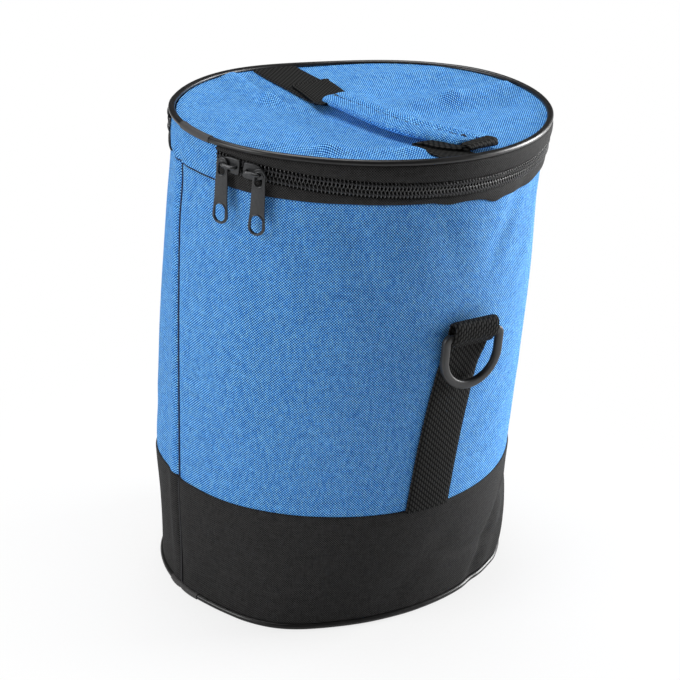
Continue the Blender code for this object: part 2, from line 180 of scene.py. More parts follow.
def ridge(x, y, start, end, half_width, fade):
    """Height, from 0 to 1, of a soft ridge between two points, which fades out
    beyond them."""
    along = np.subtract(end, start).astype(float)
    length = np.linalg.norm(along)
    along /= length
    x, y = x - start[0], y - start[1]
    u, v = x * along[0] + y * along[1], y * along[0] - x * along[1]
    beyond = np.maximum(np.maximum(-u, u - length), 0)
    return hump(v, 0, half_width) * hump(beyond, 0, fade)


# ---------------------------------------------------------------- soft shape
# Soft folds of the wall: normal angle and height of both ends, half width, rise
FOLDS = [
    (-72, 150, -58, 162, 5, 0.9), (-72, 132, -52, 148, 5, -0.8), (-70, 118, -50, 134, 4, 0.7),
    (-71, 104, -56, 115, 4, -0.6), (-120, 262, -108, 205, 11, -1.3), (-140, 262, -132, 215, 9, 0.9),
    (-96, 264, -90, 238, 8, -1.1), (-66, 262, -74, 236, 7, -1.4), (-50, 258, -56, 225, 8, 1.2),
    (-36, 262, -30, 215, 9, -1.2), (-163, 262, -160, 190, 9, -1.0), (-12, 262, -6, 200, 11, -1.2),
    (-62, 12, -48, 50, 6, -2.6), (-46, 14, -30, 44, 5, 2.2), (-96, 20, -82, 50, 10, -0.9),
    (-158, 14, -150, 46, 8, -1.0), (40, 240, 60, 190, 12, -1.2), (110, 250, 100, 200, 11, 1.1),
    (95, 60, 70, 130, 14, -1.0), (150, 120, 140, 190, 12, 1.0), (20, 90, 35, 140, 12, 0.9),
    (-165, 150, -152, 110, 11, -0.9), (-128, 130, -118, 90, 14, -0.7), (-20, 150, -10, 100, 12, -0.9),
    (-34, 30, -14, 60, 4, -1.8), (-76, 34, -54, 24, 4, -1.6), (-58, 34, -28, 52, 4, -1.3),
]


def seam_shift(height):
    """The back seam leans: its distance round from BACK_SEAM, in mm like height."""
    return 10.5 - 17.5 * height / 272


def seam_angle(height):
    """Angle of the leaning back seam at a height in metres."""
    return angle_at((seam_shift(height / MM) * MM) % GIRTH)


def swell(angle, z):
    """How far the soft wall stands out from the outline. The numbers are the
    places, sizes and rises of its hollows and bulges, in mm and degrees."""
    arc, height, girth = arc_at(angle) / MM, np.asarray(z) / MM, GIRTH / MM
    from_seam = (arc - seam_shift(height) + girth / 2) % girth - girth / 2

    def side(centre, width):
        return hump(turned(angle, centre), 0, width)

    foot = -2.4 + 4.3 * side(-131, 13) - 3.4 * side(-90, 24) + 4.0 * side(-42, 16)
    out = foot * (1 - smooth_step(0, 75, height))
    out = out + 4.6 * side(149, 21) * hump(height, 165, 105)
    out = out + 2.2 * side(150, 20) * hump(height, 85, 26)
    out = out - 1.8 * side(-36, 20) * hump(height, 245, 32)
    out = out + 0.9 * np.sin(3 * arc / girth * 2 * math.pi + 0.6) * hump(height, 170, 80)
    out = out - 1.5 * hump(height, 262, 16) * (0.6 + 0.4 * np.sin(arc / 17 + height / 40))
    below_lid = 1 - smooth_step(276, 286, height)
    deep = below_lid * (0.3 + 0.7 * smooth_step(4, 40, height))
    out = out - 1.7 * hump(from_seam, 0, 1.4) * deep
    out = out + (1.5 * hump(from_seam, -6, 4.5) + 0.8 * hump(from_seam, 7, 6)) * deep
    for start, low, end, high, half_width, rise in FOLDS:
        ends = (arc_at(start) / MM, low), (arc_at(end) / MM, high)
        out = out + rise * ridge(arc, height, *ends, half_width, 12)
    return out * MM


def wall(angle, z, offset=0.0):
    """Points of the soft wall at the angles and heights, moved out by offset."""
    angle, z = np.broadcast_arrays(np.asarray(angle, float), np.asarray(z, float))
    return np.concatenate((outline(angle, swell(angle, z) + offset), z[..., None]), -1)


def panel_top(angle):
    """Height of the blue wall's top edge: it sags towards the lean of the zip."""
    dips = 2.4 * hump(turned(angle, -78), 0, 3.0) + 1.5 * hump(turned(angle, -93.5), 0, 3.5)
    return PANEL_TOP - (5.5 * hump(turned(angle, -64), 0, 20) + dips) * MM


def zip_height(angle):
    """Height of the zip's centre line. The near half lies in the plane that
    slider B travels in, and the rest is level."""
    spot = outline(angle)
    place, axis = (np.array(JOINTS["slider_b_travel"][key]) for key in ("pos_m", "axis"))
    plane = place[2] - ((spot - place[:2]) @ axis[:2]) / axis[2]
    far_height = 284 * MM
    weight = 1 - smooth_step(-20 * MM, 60 * MM, spot[..., 1])
    return far_height + weight * (plane - far_height)


def rim_rise(angle):
    """How the lid's rim wanders up and down from level."""
    far = -2.0 * hump(turned(angle, 100), 0, 55) - 2.6 * hump(turned(angle, 78), 0, 26)
    return (far + 0.5 * np.sin(np.radians(3 * np.asarray(angle)) + 1.0)) * MM


# Soft ridges of the lid: both ends (x, y), half width and rise
LID_FOLDS = [
    ((-41, 88), (-44, 36), 6, 1.5), ((-44, 36), (-33, 14), 6, 1.1), ((-30, 80), (-33, 30), 6, -1.0),
    ((-92, -30), (-62, -57), 5, 1.4), ((-62, -57), (-20, -74), 5, 1.5), ((-20, -74), (30, -76), 5, 0.6),
    ((104, 4), (62, 1), 7, 1.8), ((62, 1), (38, 3), 7, 1.2), ((94, -15), (34, -14), 9, -1.6),
    ((30, 26), (78, 30), 12, -1.5), ((36, 60), (84, 48), 9, 1.0), ((-80, 20), (-60, -20), 14, 0.8),
    ((40, -50), (84, -42), 9, 1.0),
]
LID_FOLD_RISE = 2.3 * MM
LID_SAG = 3.0 * MM


def lid_height(x, y):
    """Height of the lid cloth's top: it dips inside the rim, with soft ridges."""
    x, y = np.broadcast_arrays(np.asarray(x, float), np.asarray(y, float))
    reach = np.minimum(np.hypot(x / HALF_LENGTH, y / HALF_WIDTH), 1)
    angle = np.degrees(np.arctan2(y, x))
    z = LID_TOP + 0.8 * MM + rim_rise(angle) * reach**2 - LID_SAG * (1 - reach**5)
    inside = smooth_step(1.0, 0.93, reach)
    for start, end, half_width, rise in LID_FOLDS:
        z = z + LID_FOLD_RISE * rise * ridge(x / MM, y / MM, start, end, half_width, 8) * inside
    return z


# ---------------------------------------------------------------- mesh tools
class Shape:
    """Collects closed shapes, then makes one object of them."""

    def __init__(self):
        self.verts, self.faces, self.corners, self.count = [], [], [], 0

    def add(self, verts, faces, corners):
        """faces index verts; corners hold each face's UVs, in metres."""
        self.verts.append(np.asarray(verts, float).reshape(-1, 3))
        self.faces += [[index + self.count for index in face] for face in faces]
        self.corners += corners
        self.count += len(self.verts[-1])

    def make(self, name, material, sharp=50):
        mesh = bpy.data.meshes.new(name)
        mesh.from_pydata(np.concatenate(self.verts).tolist(), [], self.faces)
        layer = mesh.uv_layers.new(name="cloth")
        layer.data.foreach_set("uv", np.concatenate(self.corners).astype(np.float32).ravel())
        made = bmesh.new()
        made.from_mesh(mesh)
        bmesh.ops.recalc_face_normals(made, faces=made.faces)
        made.to_mesh(mesh)
        made.free()
        mesh.shade_smooth()
        mesh.set_sharp_from_angle(angle=math.radians(sharp))
        obj = bpy.data.objects.new(name, mesh)
        bpy.context.collection.objects.link(obj)
        mesh.materials.append(material)
        return obj


def add_shell(shape, outer, inner, uv, closed=False):
    """A sheet with thickness: outer and inner are grids (columns, rows, 3). A
    closed one joins its last column to its first, and uv has one column more."""
    columns, rows = outer.shape[:2]
    count = columns * rows
    faces, corners = [], []
    last = columns if closed else columns - 1
    for i in range(last):
        j = (i + 1) % columns
        for k in range(rows - 1):
            a, b = i * rows + k, j * rows + k
            spots = [uv[i, k], uv[i + 1, k], uv[i + 1, k + 1], uv[i, k + 1]]
            faces += [(a, b, b + 1, a + 1), (a + count, a + 1 + count, b + 1 + count, b + count)]
            corners += [spots, [spots[0], spots[3], spots[2], spots[1]]]
        for k, turn in ((0, 1), (rows - 1, -1)):
            a, b = i * rows + k, j * rows + k
            faces.append((a, a + count, b + count, b)[::turn])
            corners.append([uv[i, k], uv[i, k], uv[i + 1, k], uv[i + 1, k]][::turn])
    if not closed:
        for i, turn in ((0, 1), (columns - 1, -1)):
            for k in range(rows - 1):
                a = i * rows + k
                faces.append((a, a + 1, a + 1 + count, a + count)[::turn])
                corners.append([uv[i, k], uv[i, k + 1], uv[i, k + 1], uv[i, k]][::turn])
    shape.add(np.concatenate((outer.reshape(-1, 3), inner.reshape(-1, 3))), faces, corners)


def sweep(shape, path, across, up, section, closed=False):
    """Skin a section (m, 2), or one for each point, along a path (n, 3)."""
    path = np.asarray(path, float)
    count = len(path)
    section = np.broadcast_to(np.asarray(section, float), (count,) + np.shape(section)[-2:])
    across, up = (np.broadcast_to(np.asarray(v, float), path.shape) for v in (across, up))
    sides = section.shape[1]
    grid = path[:, None] + across[:, None] * section[..., :1] + up[:, None] * section[..., 1:]
    length = run_lengths(path)
    if closed:
        length = np.append(length, length[-1] + np.linalg.norm(path[0] - path[-1]))
    around = np.linalg.norm(np.diff(section[0], axis=0, append=section[0][:1]), axis=1)
    around = np.concatenate(([0], np.cumsum(around)))
    faces, corners = [], []
    for i in range(count if closed else count - 1):
        j = (i + 1) % count
        for k in range(sides):
            m = (k + 1) % sides
            faces.append((i * sides + k, i * sides + m, j * sides + m, j * sides + k))
            corners.append([(around[k], length[i]), (around[k + 1], length[i]),
                            (around[k + 1], length[i + 1]), (around[k], length[i + 1])])
    if not closed:
        for i in (0, count - 1):
            faces.append([i * sides + k for k in range(sides)])
            corners.append([tuple(spot) for spot in section[i]])
    shape.add(grid, faces, corners)


def unit(vectors):
    vectors = np.asarray(vectors, float)
    return vectors / np.linalg.norm(vectors, axis=-1, keepdims=True)


def frames(path, reference, closed=False):
    """Unit vectors across a path and up from it, with across square to reference."""
    path = np.asarray(path, float)
    if closed:
        along = unit(np.roll(path, -1, axis=0) - np.roll(path, 1, axis=0))
    else:
        along = unit(np.gradient(path, axis=0))
    across = unit(np.cross(along, np.broadcast_to(reference, path.shape)))
    return across, np.cross(across, along)


def round_section(half_width, half_height, sides, power=2.0):
    """Ellipse, or with a greater power a rounder-cornered oblong."""
    turn = np.arange(sides) * 2 * math.pi / sides
    x, y = np.cos(turn), np.sin(turn)
    return np.stack((half_width * np.copysign(np.abs(x) ** (2 / power), x),
                     half_height * np.copysign(np.abs(y) ** (2 / power), y)), -1)


def wire(shape, path, reference, half_width, half_height=None, sides=8, closed=False):
    """A round or oval wire along a path; reference is about square to its width."""
    across, up = frames(path, reference, closed)
    section = round_section(half_width, half_height or half_width, sides)
    sweep(shape, path, across, up, section, closed)


def without_repeats(path):
    """A closed path without points that lie on the one before."""
    return path[np.linalg.norm(path - np.roll(path, 1, axis=0), axis=1) > 0.02 * MM]


def smooth_route(points, step):
    """Evenly spaced points on a smooth curve through a few chosen ones."""
    points = np.asarray(points, float)
    knots = run_lengths(points)
    slopes = np.gradient(points, knots, axis=0)
    spots = np.linspace(0, knots[-1], max(3, round(knots[-1] / step) + 1))
    index = np.clip(np.searchsorted(knots, spots, side="right") - 1, 0, len(knots) - 2)
    span = (knots[index + 1] - knots[index])[:, None]
    t = (spots - knots[index])[:, None] / span
    return ((2 * t**3 - 3 * t**2 + 1) * points[index] + (t**3 - 2 * t**2 + t) * span * slopes[index]
            + (3 * t**2 - 2 * t**3) * points[index + 1] + (t**3 - t**2) * span * slopes[index + 1])


def joined(name, first, *others):
    """Join meshes that have one material into one object."""
    made = bmesh.new()
    for obj in (first, *others):
        made.from_mesh(obj.data)
    made.to_mesh(first.data)
    made.free()
    for obj in others:
        bpy.data.objects.remove(obj, do_unlink=True)
    first.name = first.data.name = name
    return first


def seen(obj, body, slot, *nodes):
    """Every piece: attach it to its body and hide the plain solids it stands for. slot, its finish, is
    not used.
    """
    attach(obj, body)
    if nodes:
        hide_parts(*nodes)
    return obj


# ---------------------------------------------------------------- materials
class Graph:
    """A material, with short calls for its nodes."""

    def __init__(self, name, roughness, metallic=0.0, specular=0.5, sheen=0.0, coat=0.0):
        self.material = bpy.data.materials.new(name)
        self.material.use_nodes = True
        self.tree = self.material.node_tree
        self.shader = self.tree.nodes["Principled BSDF"]
        for socket, value in (("Roughness", roughness), ("Metallic", metallic),
                              ("Specular IOR Level", specular), ("Sheen Weight", sheen),
                              ("Sheen Roughness", 0.5), ("Coat Weight", coat),
                              ("Coat Roughness", 0.25)):
            self.shader.inputs[socket].default_value = value

    def node(self, kind, inputs=(), **settings):
        made = self.tree.nodes.new("ShaderNode" + kind)
        for key, value in settings.items():
            setattr(made, key, value)
        self.fill(made, dict(inputs))
        return made

    def fill(self, node, inputs):
        """Give a node's inputs a value each, or a link from another node."""
        for key, value in inputs.items():
            if isinstance(value, bpy.types.NodeSocket):
                self.tree.links.new(value, node.inputs[key])
            else:
                node.inputs[key].default_value = value

    def math(self, operation, *values):
        return self.node("Math", enumerate(values), operation=operation).outputs[0]

    def vector(self, x, y, z):
        return self.node("CombineXYZ", {"X": x, "Y": y, "Z": z}).outputs[0]

    def coordinates(self, kind="UV"):
        spot = self.node("TexCoord").outputs[kind]
        split = self.node("SeparateXYZ", {0: spot})
        return spot, split.outputs[0], split.outputs[1], split.outputs[2]

    def noise(self, vector, scale, detail=2.0, roughness=0.5):
        inputs = {"Vector": vector, "Scale": scale, "Detail": detail, "Roughness": roughness}
        return self.node("TexNoise", inputs).outputs[0]

    def blend(self, factor, first, second):
        parts = {0: factor, 2: first, 3: second}
        return self.node("Mix", parts, data_type="FLOAT").outputs[0]

    def ramp(self, value, *stops):
        """Colours (linear) at places from 0 to 1."""
        made = self.node("ValToRGB", {0: value})
        elements = made.color_ramp.elements
        while len(elements) < len(stops):
            elements.new(0.5)
        for element, (place, colour) in zip(elements, stops):
            element.position = place
            element.color = (*colour, 1)
        return made.outputs[0]

    def finish(self, colour, height=None, distance=0.0, strength=1.0, roughness=None):
        """Join the colour, a bump from height, and the roughness to the shader."""
        self.fill(self.shader, {"Base Color": colour})
        if roughness is not None:
            self.fill(self.shader, {"Roughness": roughness})
        if height is not None:
            bump = self.node("Bump", {"Height": height, "Distance": distance,
                                      "Strength": strength})
            self.fill(self.shader, {"Normal": bump.outputs[0]})
        return self.material


def plain_weave(graph, thread, slub):
    """Height, tone and face of a plain weave. Each thread has its own tone, which
    drifts along it over slub metres; face is 1 where the warp is on top, 0 where
    the weft is, and smooth between."""
    _, along, up, _ = graph.coordinates()
    u, v = graph.math("DIVIDE", along, thread), graph.math("DIVIDE", up, thread)
    warp, weft = graph.math("FLOOR", u), graph.math("FLOOR", v)
    over = graph.math("FLOORED_MODULO", graph.math("ADD", warp, weft), 2.0)
    wave = graph.math("MULTIPLY", graph.math("SINE", graph.math("MULTIPLY", u, math.pi)),
                      graph.math("SINE", graph.math("MULTIPLY", v, math.pi)))
    height = graph.math("POWER", graph.math("ABSOLUTE", wave), 0.5)
    face = graph.math("MULTIPLY_ADD", wave, 0.5, 0.5)
    warp_spot = graph.vector(graph.math("MULTIPLY", warp, 1.618),
                             graph.math("DIVIDE", up, slub), 1.7)
    weft_spot = graph.vector(graph.math("DIVIDE", along, slub),
                             graph.math("MULTIPLY", weft, 1.618), 8.3)
    tone = graph.blend(over, graph.noise(warp_spot, 1.0, 1.0), graph.noise(weft_spot, 1.0, 1.0))
    return height, tone, face


def blue_fabric():
    """Melange polyester: pale warp and deep blue weft, each thread its own tone."""
    graph = Graph("blue_melange_weave", 0.8, specular=0.12)
    height, tone, face = plain_weave(graph, 0.82 * MM, 4 * MM)
    shade = graph.math("MULTIPLY_ADD", face, 1.3, graph.math("MULTIPLY", tone, 0.7))
    shade = graph.math("SUBTRACT", shade, 0.5)
    colour = graph.ramp(shade, (0.05, (0.001, 0.010, 0.090)), (0.40, (0.010, 0.128, 0.520)),
                        (0.65, (0.055, 0.340, 0.920)), (0.95, (0.360, 0.760, 1.000)))
    return graph.finish(colour, height, 0.3 * MM, 0.35)


def black_fabric():
    """Fine black polyester, lighter where the warp lies on top: a painted sheen on the crowns of its
    threads.
    """
    graph = Graph("black_oxford_weave_painted_sheen", 0.72, specular=0.09)
    height, tone, face = plain_weave(graph, 0.72 * MM, 4 * MM)
    # Warp-over cells are lighter: painted sheen, plus each thread's own random tone.
    shade = graph.math("MULTIPLY_ADD", face, 0.8, graph.math("MULTIPLY", tone, 0.6))
    shade = graph.math("SUBTRACT", shade, 0.2)
    colour = graph.ramp(shade, (0.15, (0.001, 0.001, 0.001)), (0.9, (0.056, 0.055, 0.055)))
    return graph.finish(colour, height, 0.22 * MM, 0.4)


def black_webbing():
    """Heavy webbing: long stitches of the warp, stepped from rib to rib, coloured by their height:
    painted shade between the stitches, painted highlight on their crowns.
    """
    rib_width, stitch_length = 1.75 * MM, 3.2 * MM
    graph = Graph("black_webbing_weave_painted_shade", 0.7, specular=0.08)
    _, across, along, _ = graph.coordinates()

    def hill(value, power):
        wave = graph.math("SINE", graph.math("MULTIPLY", graph.math("FRACT", value), math.pi))
        return graph.math("POWER", wave, power)

    u = graph.math("DIVIDE", across, rib_width)
    v = graph.math("MULTIPLY_ADD", graph.math("FLOOR", u), 0.5,
                   graph.math("DIVIDE", along, stitch_length))
    v = graph.math("MULTIPLY_ADD", graph.math("FRACT", u), 0.35, v)
    height = graph.math("MULTIPLY", hill(u, 0.7), hill(v, 0.6))
    fibres = graph.noise(graph.vector(graph.math("MULTIPLY", across, 9000.0),
                                      graph.math("MULTIPLY", along, 900.0), 0.0), 1.0)
    # The colour follows the stitches' height, times a fibre grain: painted shade in the grooves and a
    # painted highlight on the crowns.
    shade = graph.math("MULTIPLY", height, graph.math("MULTIPLY_ADD", fibres, 1.0, 0.5))
    colour = graph.ramp(shade, (0.34, (0.001, 0.001, 0.001)), (0.80, (0.032, 0.032, 0.031)))
    return graph.finish(colour, height, 0.5 * MM, 0.6)


def piping_material():
    """Coated binding: smooth, slightly dull along its length, with a faint grain."""
    graph = Graph("piping_binding", 0.28, specular=0.42)
    spot, around, along, _ = graph.coordinates()
    streak = graph.noise(graph.vector(graph.math("MULTIPLY", around, 500.0),
                                      graph.math("MULTIPLY", along, 60.0), 0.0), 1.0, 3.0)
    grain = graph.noise(spot, 2500.0, 2.0)
    colour = graph.ramp(streak, (0.25, (0.006, 0.006, 0.006)), (0.8, (0.020, 0.019, 0.019)))
    rough = graph.math("MULTIPLY_ADD", streak, 0.22, 0.20)
    return graph.finish(colour, graph.math("ADD", grain, streak), 0.08 * MM, 0.6, rough)


def grained(name, roughness, scale, detail, dark, pale, bump, stops=(0.3, 0.7),
            kind="Object", **finish):
    """A plain material with a fine grain, in its colour and in its bump."""
    graph = Graph(name, roughness, **finish)
    grain = graph.noise(graph.coordinates(kind)[0], scale, detail)
    colour = graph.ramp(grain, (stops[0], dark), (stops[1], pale))
    return graph.finish(colour, grain, bump, 0.5)


def thread_material(name, colour):
    """Sewing thread, with a fine grain down to half its colour: painted shade between its twists."""
    # The darker half of the grain is painted shade between the twists.
    dark = tuple(0.5 * part for part in colour)
    return grained(name, 0.6, 2500.0, 1.0, dark, colour, 0.05 * MM, specular=0.4)


def slider_material():
    """Black enamel on zinc, rubbed thin in small spots."""
    graph = Graph("slider_black_enamel", 0.34, metallic=0.55, specular=0.5, coat=0.25)
    spot = graph.coordinates("Object")[0]
    wear = graph.noise(spot, 900.0, 4.0, 0.65)
    colour = graph.ramp(wear, (0.35, (0.028, 0.029, 0.031)), (0.75, (0.044, 0.045, 0.047)))
    rough = graph.math("MULTIPLY_ADD", wear, 0.2, 0.22)
    return graph.finish(colour, graph.noise(spot, 2600.0, 2.0), 0.02 * MM, 0.5, rough)


def ring_material():
    """Moulded plastic with a fine matt spark."""
    graph = Graph("ring_moulded_plastic", 0.42, specular=0.45)
    spot = graph.coordinates("Object")[0]
    spark = graph.noise(spot, 3200.0, 2.0)
    cloud = graph.noise(spot, 90.0, 3.0)
    colour = graph.ramp(cloud, (0.3, (0.016, 0.016, 0.016)), (0.7, (0.028, 0.028, 0.028)))
    return graph.finish(colour, spark, 0.04 * MM, 0.5)


def foam_material():
    """Pale closed-cell foam."""
    graph = Graph("foam_cells", 0.85, specular=0.2)
    spot = graph.coordinates("Object")[0]
    cells = graph.node("TexVoronoi", {"Vector": spot, "Scale": 900.0}).outputs[0]
    colour = graph.ramp(cells, (0.0, (0.62, 0.62, 0.60)), (0.7, (0.82, 0.82, 0.80)))
    return graph.finish(colour, cells, 0.2 * MM, 0.6)


def liner_material():
    """Silver-grey laminated film, softly crinkled, with a pressed diamond grid."""
    graph = Graph("liner_silver_film", 0.36, metallic=0.45, specular=0.5)
    spot, u, v, _ = graph.coordinates()

    def lines(value):
        wave = graph.math("SINE", graph.math("MULTIPLY", value, math.pi / (4 * MM)))
        return graph.math("POWER", graph.math("ABSOLUTE", wave), 0.3)

    diamonds = graph.math("MULTIPLY", lines(graph.math("ADD", u, v)),
                          lines(graph.math("SUBTRACT", u, v)))
    crinkle = graph.noise(spot, 140.0, 5.0, 0.6)
    height = graph.math("MULTIPLY_ADD", crinkle, 3.0, diamonds)
    colour = graph.ramp(crinkle, (0.3, (0.50, 0.51, 0.53)), (0.7, (0.72, 0.73, 0.75)))
    return graph.finish(colour, height, 0.35 * MM, 0.6)


BLUE = blue_fabric()
BLACK = black_fabric()
WEB = black_webbing()
PIPE = piping_material()
SLEEVE = grained("piping_sleeve", 0.55, 1800.0, 3.0, (0.038, 0.037, 0.037),
                 (0.062, 0.060, 0.060), 0.06 * MM, (0.2, 0.8), "UV", specular=0.4)
COIL = grained("zip_coil_nylon", 0.26, 1500.0, 2.0, (0.006, 0.006, 0.006),
               (0.016, 0.016, 0.017), 0.03 * MM, specular=0.7)
SLIDER = slider_material()
RING = ring_material()
FOAM = foam_material()
FOIL = liner_material()
BLACK_THREAD = thread_material("black_thread", (0.030, 0.030, 0.034))
# Dark navy seam thread: real stitching, and also a painted shadow line in the seam grooves.
NAVY_SEAM_SHADE_THREAD = thread_material("navy_thread_seam_shade", (0.010, 0.022, 0.070))
SEAM_THREAD = thread_material("blue_thread", (0.006, 0.030, 0.120))


# ---------------------------------------------------------------- wall, base and lid
CLOTH = FABRIC - 0.2 * MM          # thickness of a seen sheet


def shifted(height, rise):
    """A height function of the angle, moved up by rise."""
    return lambda angle: height(angle) + rise


def wall_sheet(name, material, profile, thickness, stretch=None, step=2.6 * MM):
    """A sheet on the wall. profile(angle) gives rows of (offset, height) for the
    outer face, from the bottom up; the inner face is thickness behind it."""
    if stretch:
        angles, uv_arcs = stretch_angles(*stretch, step)
    else:
        arcs = round_arcs(step)
        angles, uv_arcs = angle_at(arcs), np.append(arcs, GIRTH)
    offset, height = profile(angles[:, None])
    outer = wall(angles[:, None], height, offset)
    inner = wall(angles[:, None], height, offset - thickness)
    rows = height if stretch else np.concatenate((height, height[:1]))
    uv = np.stack(np.broadcast_arrays(uv_arcs[:, None], rows), -1)
    shape = Shape()
    add_shell(shape, outer, inner, uv, closed=not stretch)
    return shape.make(name, material)


def rows_between(low, high, step):
    """Row parts from 0 to 1, closer together at both edges."""
    count = max(2, round((high - low) / step))
    fine = np.array([0, 0.25, 0.5, 0.75]) / count
    return np.concatenate((fine, np.arange(1, count) / count, 1 - fine[::-1]))


def banded(low, high, rows, bulge=0.0, turn_in=0.8 * MM, base=0.0):
    """Profile of a sheet between two heights (numbers, or functions of the
    angle), with its edges turned in and its middle standing out by bulge."""
    roll = 1.6 * MM                # how far from an edge the cloth starts to turn in

    def profile(angle):
        bottom = low(angle) if callable(low) else np.full_like(angle, low)
        top = high(angle) if callable(high) else np.full_like(angle, high)
        height = bottom + (top - bottom) * rows[None]
        from_edge = np.minimum(height - bottom, top - height)
        rolled = 1 - np.sqrt(np.clip(1 - (1 - np.clip(from_edge / roll, 0, 1)) ** 2, 0, 1))
        offset = base + bulge * 4 * rows[None] * (1 - rows[None]) - turn_in * rolled
        return offset, height
    return profile


def layer(name, node, slot, material, low, high, rows, thickness, step=2.6 * MM, **shape):
    """A sheet all round the wall, in the place of a node of the bag."""
    sheet = wall_sheet(name, material, banded(low, high, rows, **shape), thickness, step=step)
    return seen(sheet, "bag", slot, node)


def build_wall():
    """The wall's layers, from the outside in."""
    layer("wall_cloth", "body_panel", "blue_fabric", BLUE, PANEL_LOW - 1.2 * MM, panel_top,
          rows_between(PANEL_LOW, PANEL_TOP, 2.7 * MM), CLOTH, base=-0.35 * MM,
          turn_in=1.4 * MM)
    layer("lower_band_cloth", "base_band", "black_fabric", BLACK, BAND_LOW - 0.4 * MM,
          BAND_TOP + 0.2 * MM, rows_between(BAND_LOW, BAND_TOP, 2.6 * MM), CLOTH,
          base=0.55 * MM, turn_in=0.5 * MM)
    low, high = node_heights("wall_foam")
    top = shifted(panel_top, -GAP)
    inside = -FABRIC - 2 * GAP
    foam = layer("wall_foam_sheet", "wall_foam", "foam", FOAM, low, top,
                 rows_between(low, high, 8 * MM), WALL_FOAM - GAP, 5 * MM, base=inside)
    inside -= WALL_FOAM
    layer("wall_lining", "wall_liner", "liner_foil", FOIL, low, top,
          rows_between(low, high, 4 * MM), LINER, 4 * MM, base=inside, turn_in=0)
    tape = {"base": inside - LINER - GAP, "bulge": -0.5 * MM, "turn_in": -0.3 * MM}
    low, high = node_heights("base_seam_binding")
    layer("base_binding", "base_seam_binding", "black_fabric", BLACK, low, high,
          rows_between(low, high, 1.4 * MM), TAPE, 4 * MM, **tape)
    low, high = node_heights("wall_seam_binding")
    binding = wall_sheet("wall_binding", BLACK, banded(
        shifted(panel_top, -7.3 * MM), top, rows_between(low, high, 1.4 * MM), **tape),
        TAPE, step=4 * MM)
    seen(joined("wall_binding", binding, rim_cap()), "bag", "black_fabric",
         "wall_seam_binding")


def rim_cap():
    """The tape's fold over the top edges of the wall's foam and lining."""
    over = np.array([(-1.7, 0.1), (-2.3, 0.7), (-3.8, 1.0), (-6.0, 1.0), (-8.2, 0.8),
                     (-9.0, 0.2), (-9.2, -1.5)]) * MM
    under = np.array([(-1.7, -0.2), (-2.3, 0.2), (-3.8, 0.4), (-6.0, 0.4), (-8.0, 0.3),
                      (-8.5, -0.1), (-8.7, -1.5)]) * MM
    arcs = round_arcs(4 * MM)
    angles = angle_at(arcs)[:, None]
    faces = [wall(angles, panel_top(angles) + line[None, :, 1], line[None, :, 0])
             for line in (over, under)]
    uv = np.stack(np.meshgrid(np.append(arcs, GIRTH), run_lengths(over), indexing="ij"), -1)
    shape = Shape()
    add_shell(shape, *faces, uv, closed=True)
    return shape.make("rim_cap", BLACK)


def oval_sheet(name, material, offset, top, thickness, rings=20, step=4 * MM):
    """A sheet across the oval: top gives its height at (x, y)."""
    edge = outline(round_angles(step), offset)
    parts = np.arange(1, rings + 1)[::-1] / rings
    plan = edge[:, None] * parts[None, :, None]
    height = top(plan[..., 0], plan[..., 1])
    upper = np.concatenate((plan, height[..., None]), -1)
    lower = upper - (0, 0, thickness)
    count, size, flat = len(edge), len(edge) * rings, plan.reshape(-1, 2)
    middle = 2 * size
    faces, corners = [], []
    for i in range(count):
        j = (i + 1) % count
        for k in range(rings - 1):
            a, b = i * rings + k, j * rings + k
            quad = (a, b, b + 1, a + 1)
            faces += [quad, tuple(index + size for index in quad[::-1])]
            corners += [[flat[index] for index in quad], [flat[index] for index in quad[::-1]]]
        a, b = i * rings, j * rings
        faces.append((a, a + size, b + size, b))
        corners.append([flat[a], flat[a] * 1.01, flat[b] * 1.01, flat[b]])
        a, b = (i + 1) * rings - 1, (j + 1) * rings - 1
        faces += [(a, b, middle), (b + size, a + size, middle + 1)]
        corners += [[flat[a], flat[b], (0, 0)], [flat[b], flat[a], (0, 0)]]
    centre = float(top(np.zeros(1), np.zeros(1))[0])
    shape = Shape()
    shape.add(np.concatenate((upper.reshape(-1, 3), lower.reshape(-1, 3),
                              [(0, 0, centre), (0, 0, centre - thickness)])), faces, corners)
    return shape.make(name, material)


def add_seam(shape, angle, height, radius, lift):
    """One sewn line on the wall, lift outside its cloth."""
    wire(shape, wall(angle, height, lift), outward(angle), radius)


def build_seams():
    """The sewn lines of the wall: navy up the back of the blue cloth and along
    the foot of the fabric hinge, and black where the back seam crosses the band.
    These dark threads are partly real stitching and partly a painted shadow:
    they draw the shade in the seams' grooves."""
    step = 3 * MM
    # Navy thread in the back seam and at the hinge's foot: stitching, and a painted shadow line in the
    # groove.
    shape = Shape()
    upright = np.arange(BAND_TOP + 0.4 * MM, PANEL_TOP, step)
    add_seam(shape, seam_angle(upright), upright, 0.65 * MM, 0.5 * MM)
    hinge = stretch_angles(ZIP_END + 0.3, ZIP_START + 359.7, step)[0]
    add_seam(shape, hinge, np.full_like(hinge, PANEL_TOP), 0.42 * MM, -0.75 * MM)
    seen(shape.make("wall_seam_thread_and_shade", NAVY_SEAM_SHADE_THREAD, 60), "bag", "blue_fabric")
    # Black thread down the band's seam: stitching, and a painted shadow line in the groove.
    shape = Shape()
    upright = np.arange(BAND_LOW + 1 * MM, BAND_TOP, step)
    add_seam(shape, seam_angle(upright), upright, 0.6 * MM, 1.2 * MM)
    seen(shape.make("band_seam_thread_and_shade", BLACK_THREAD, 60), "bag", "black_fabric")


def flat_at(z):
    """A height function of (x, y) that is z everywhere."""
    return lambda x, y: np.full_like(x, z)


def under_lid(depth):
    """A height function of (x, y), depth below the top of the lid's cloth."""
    return lambda x, y: lid_height(x, y) - depth


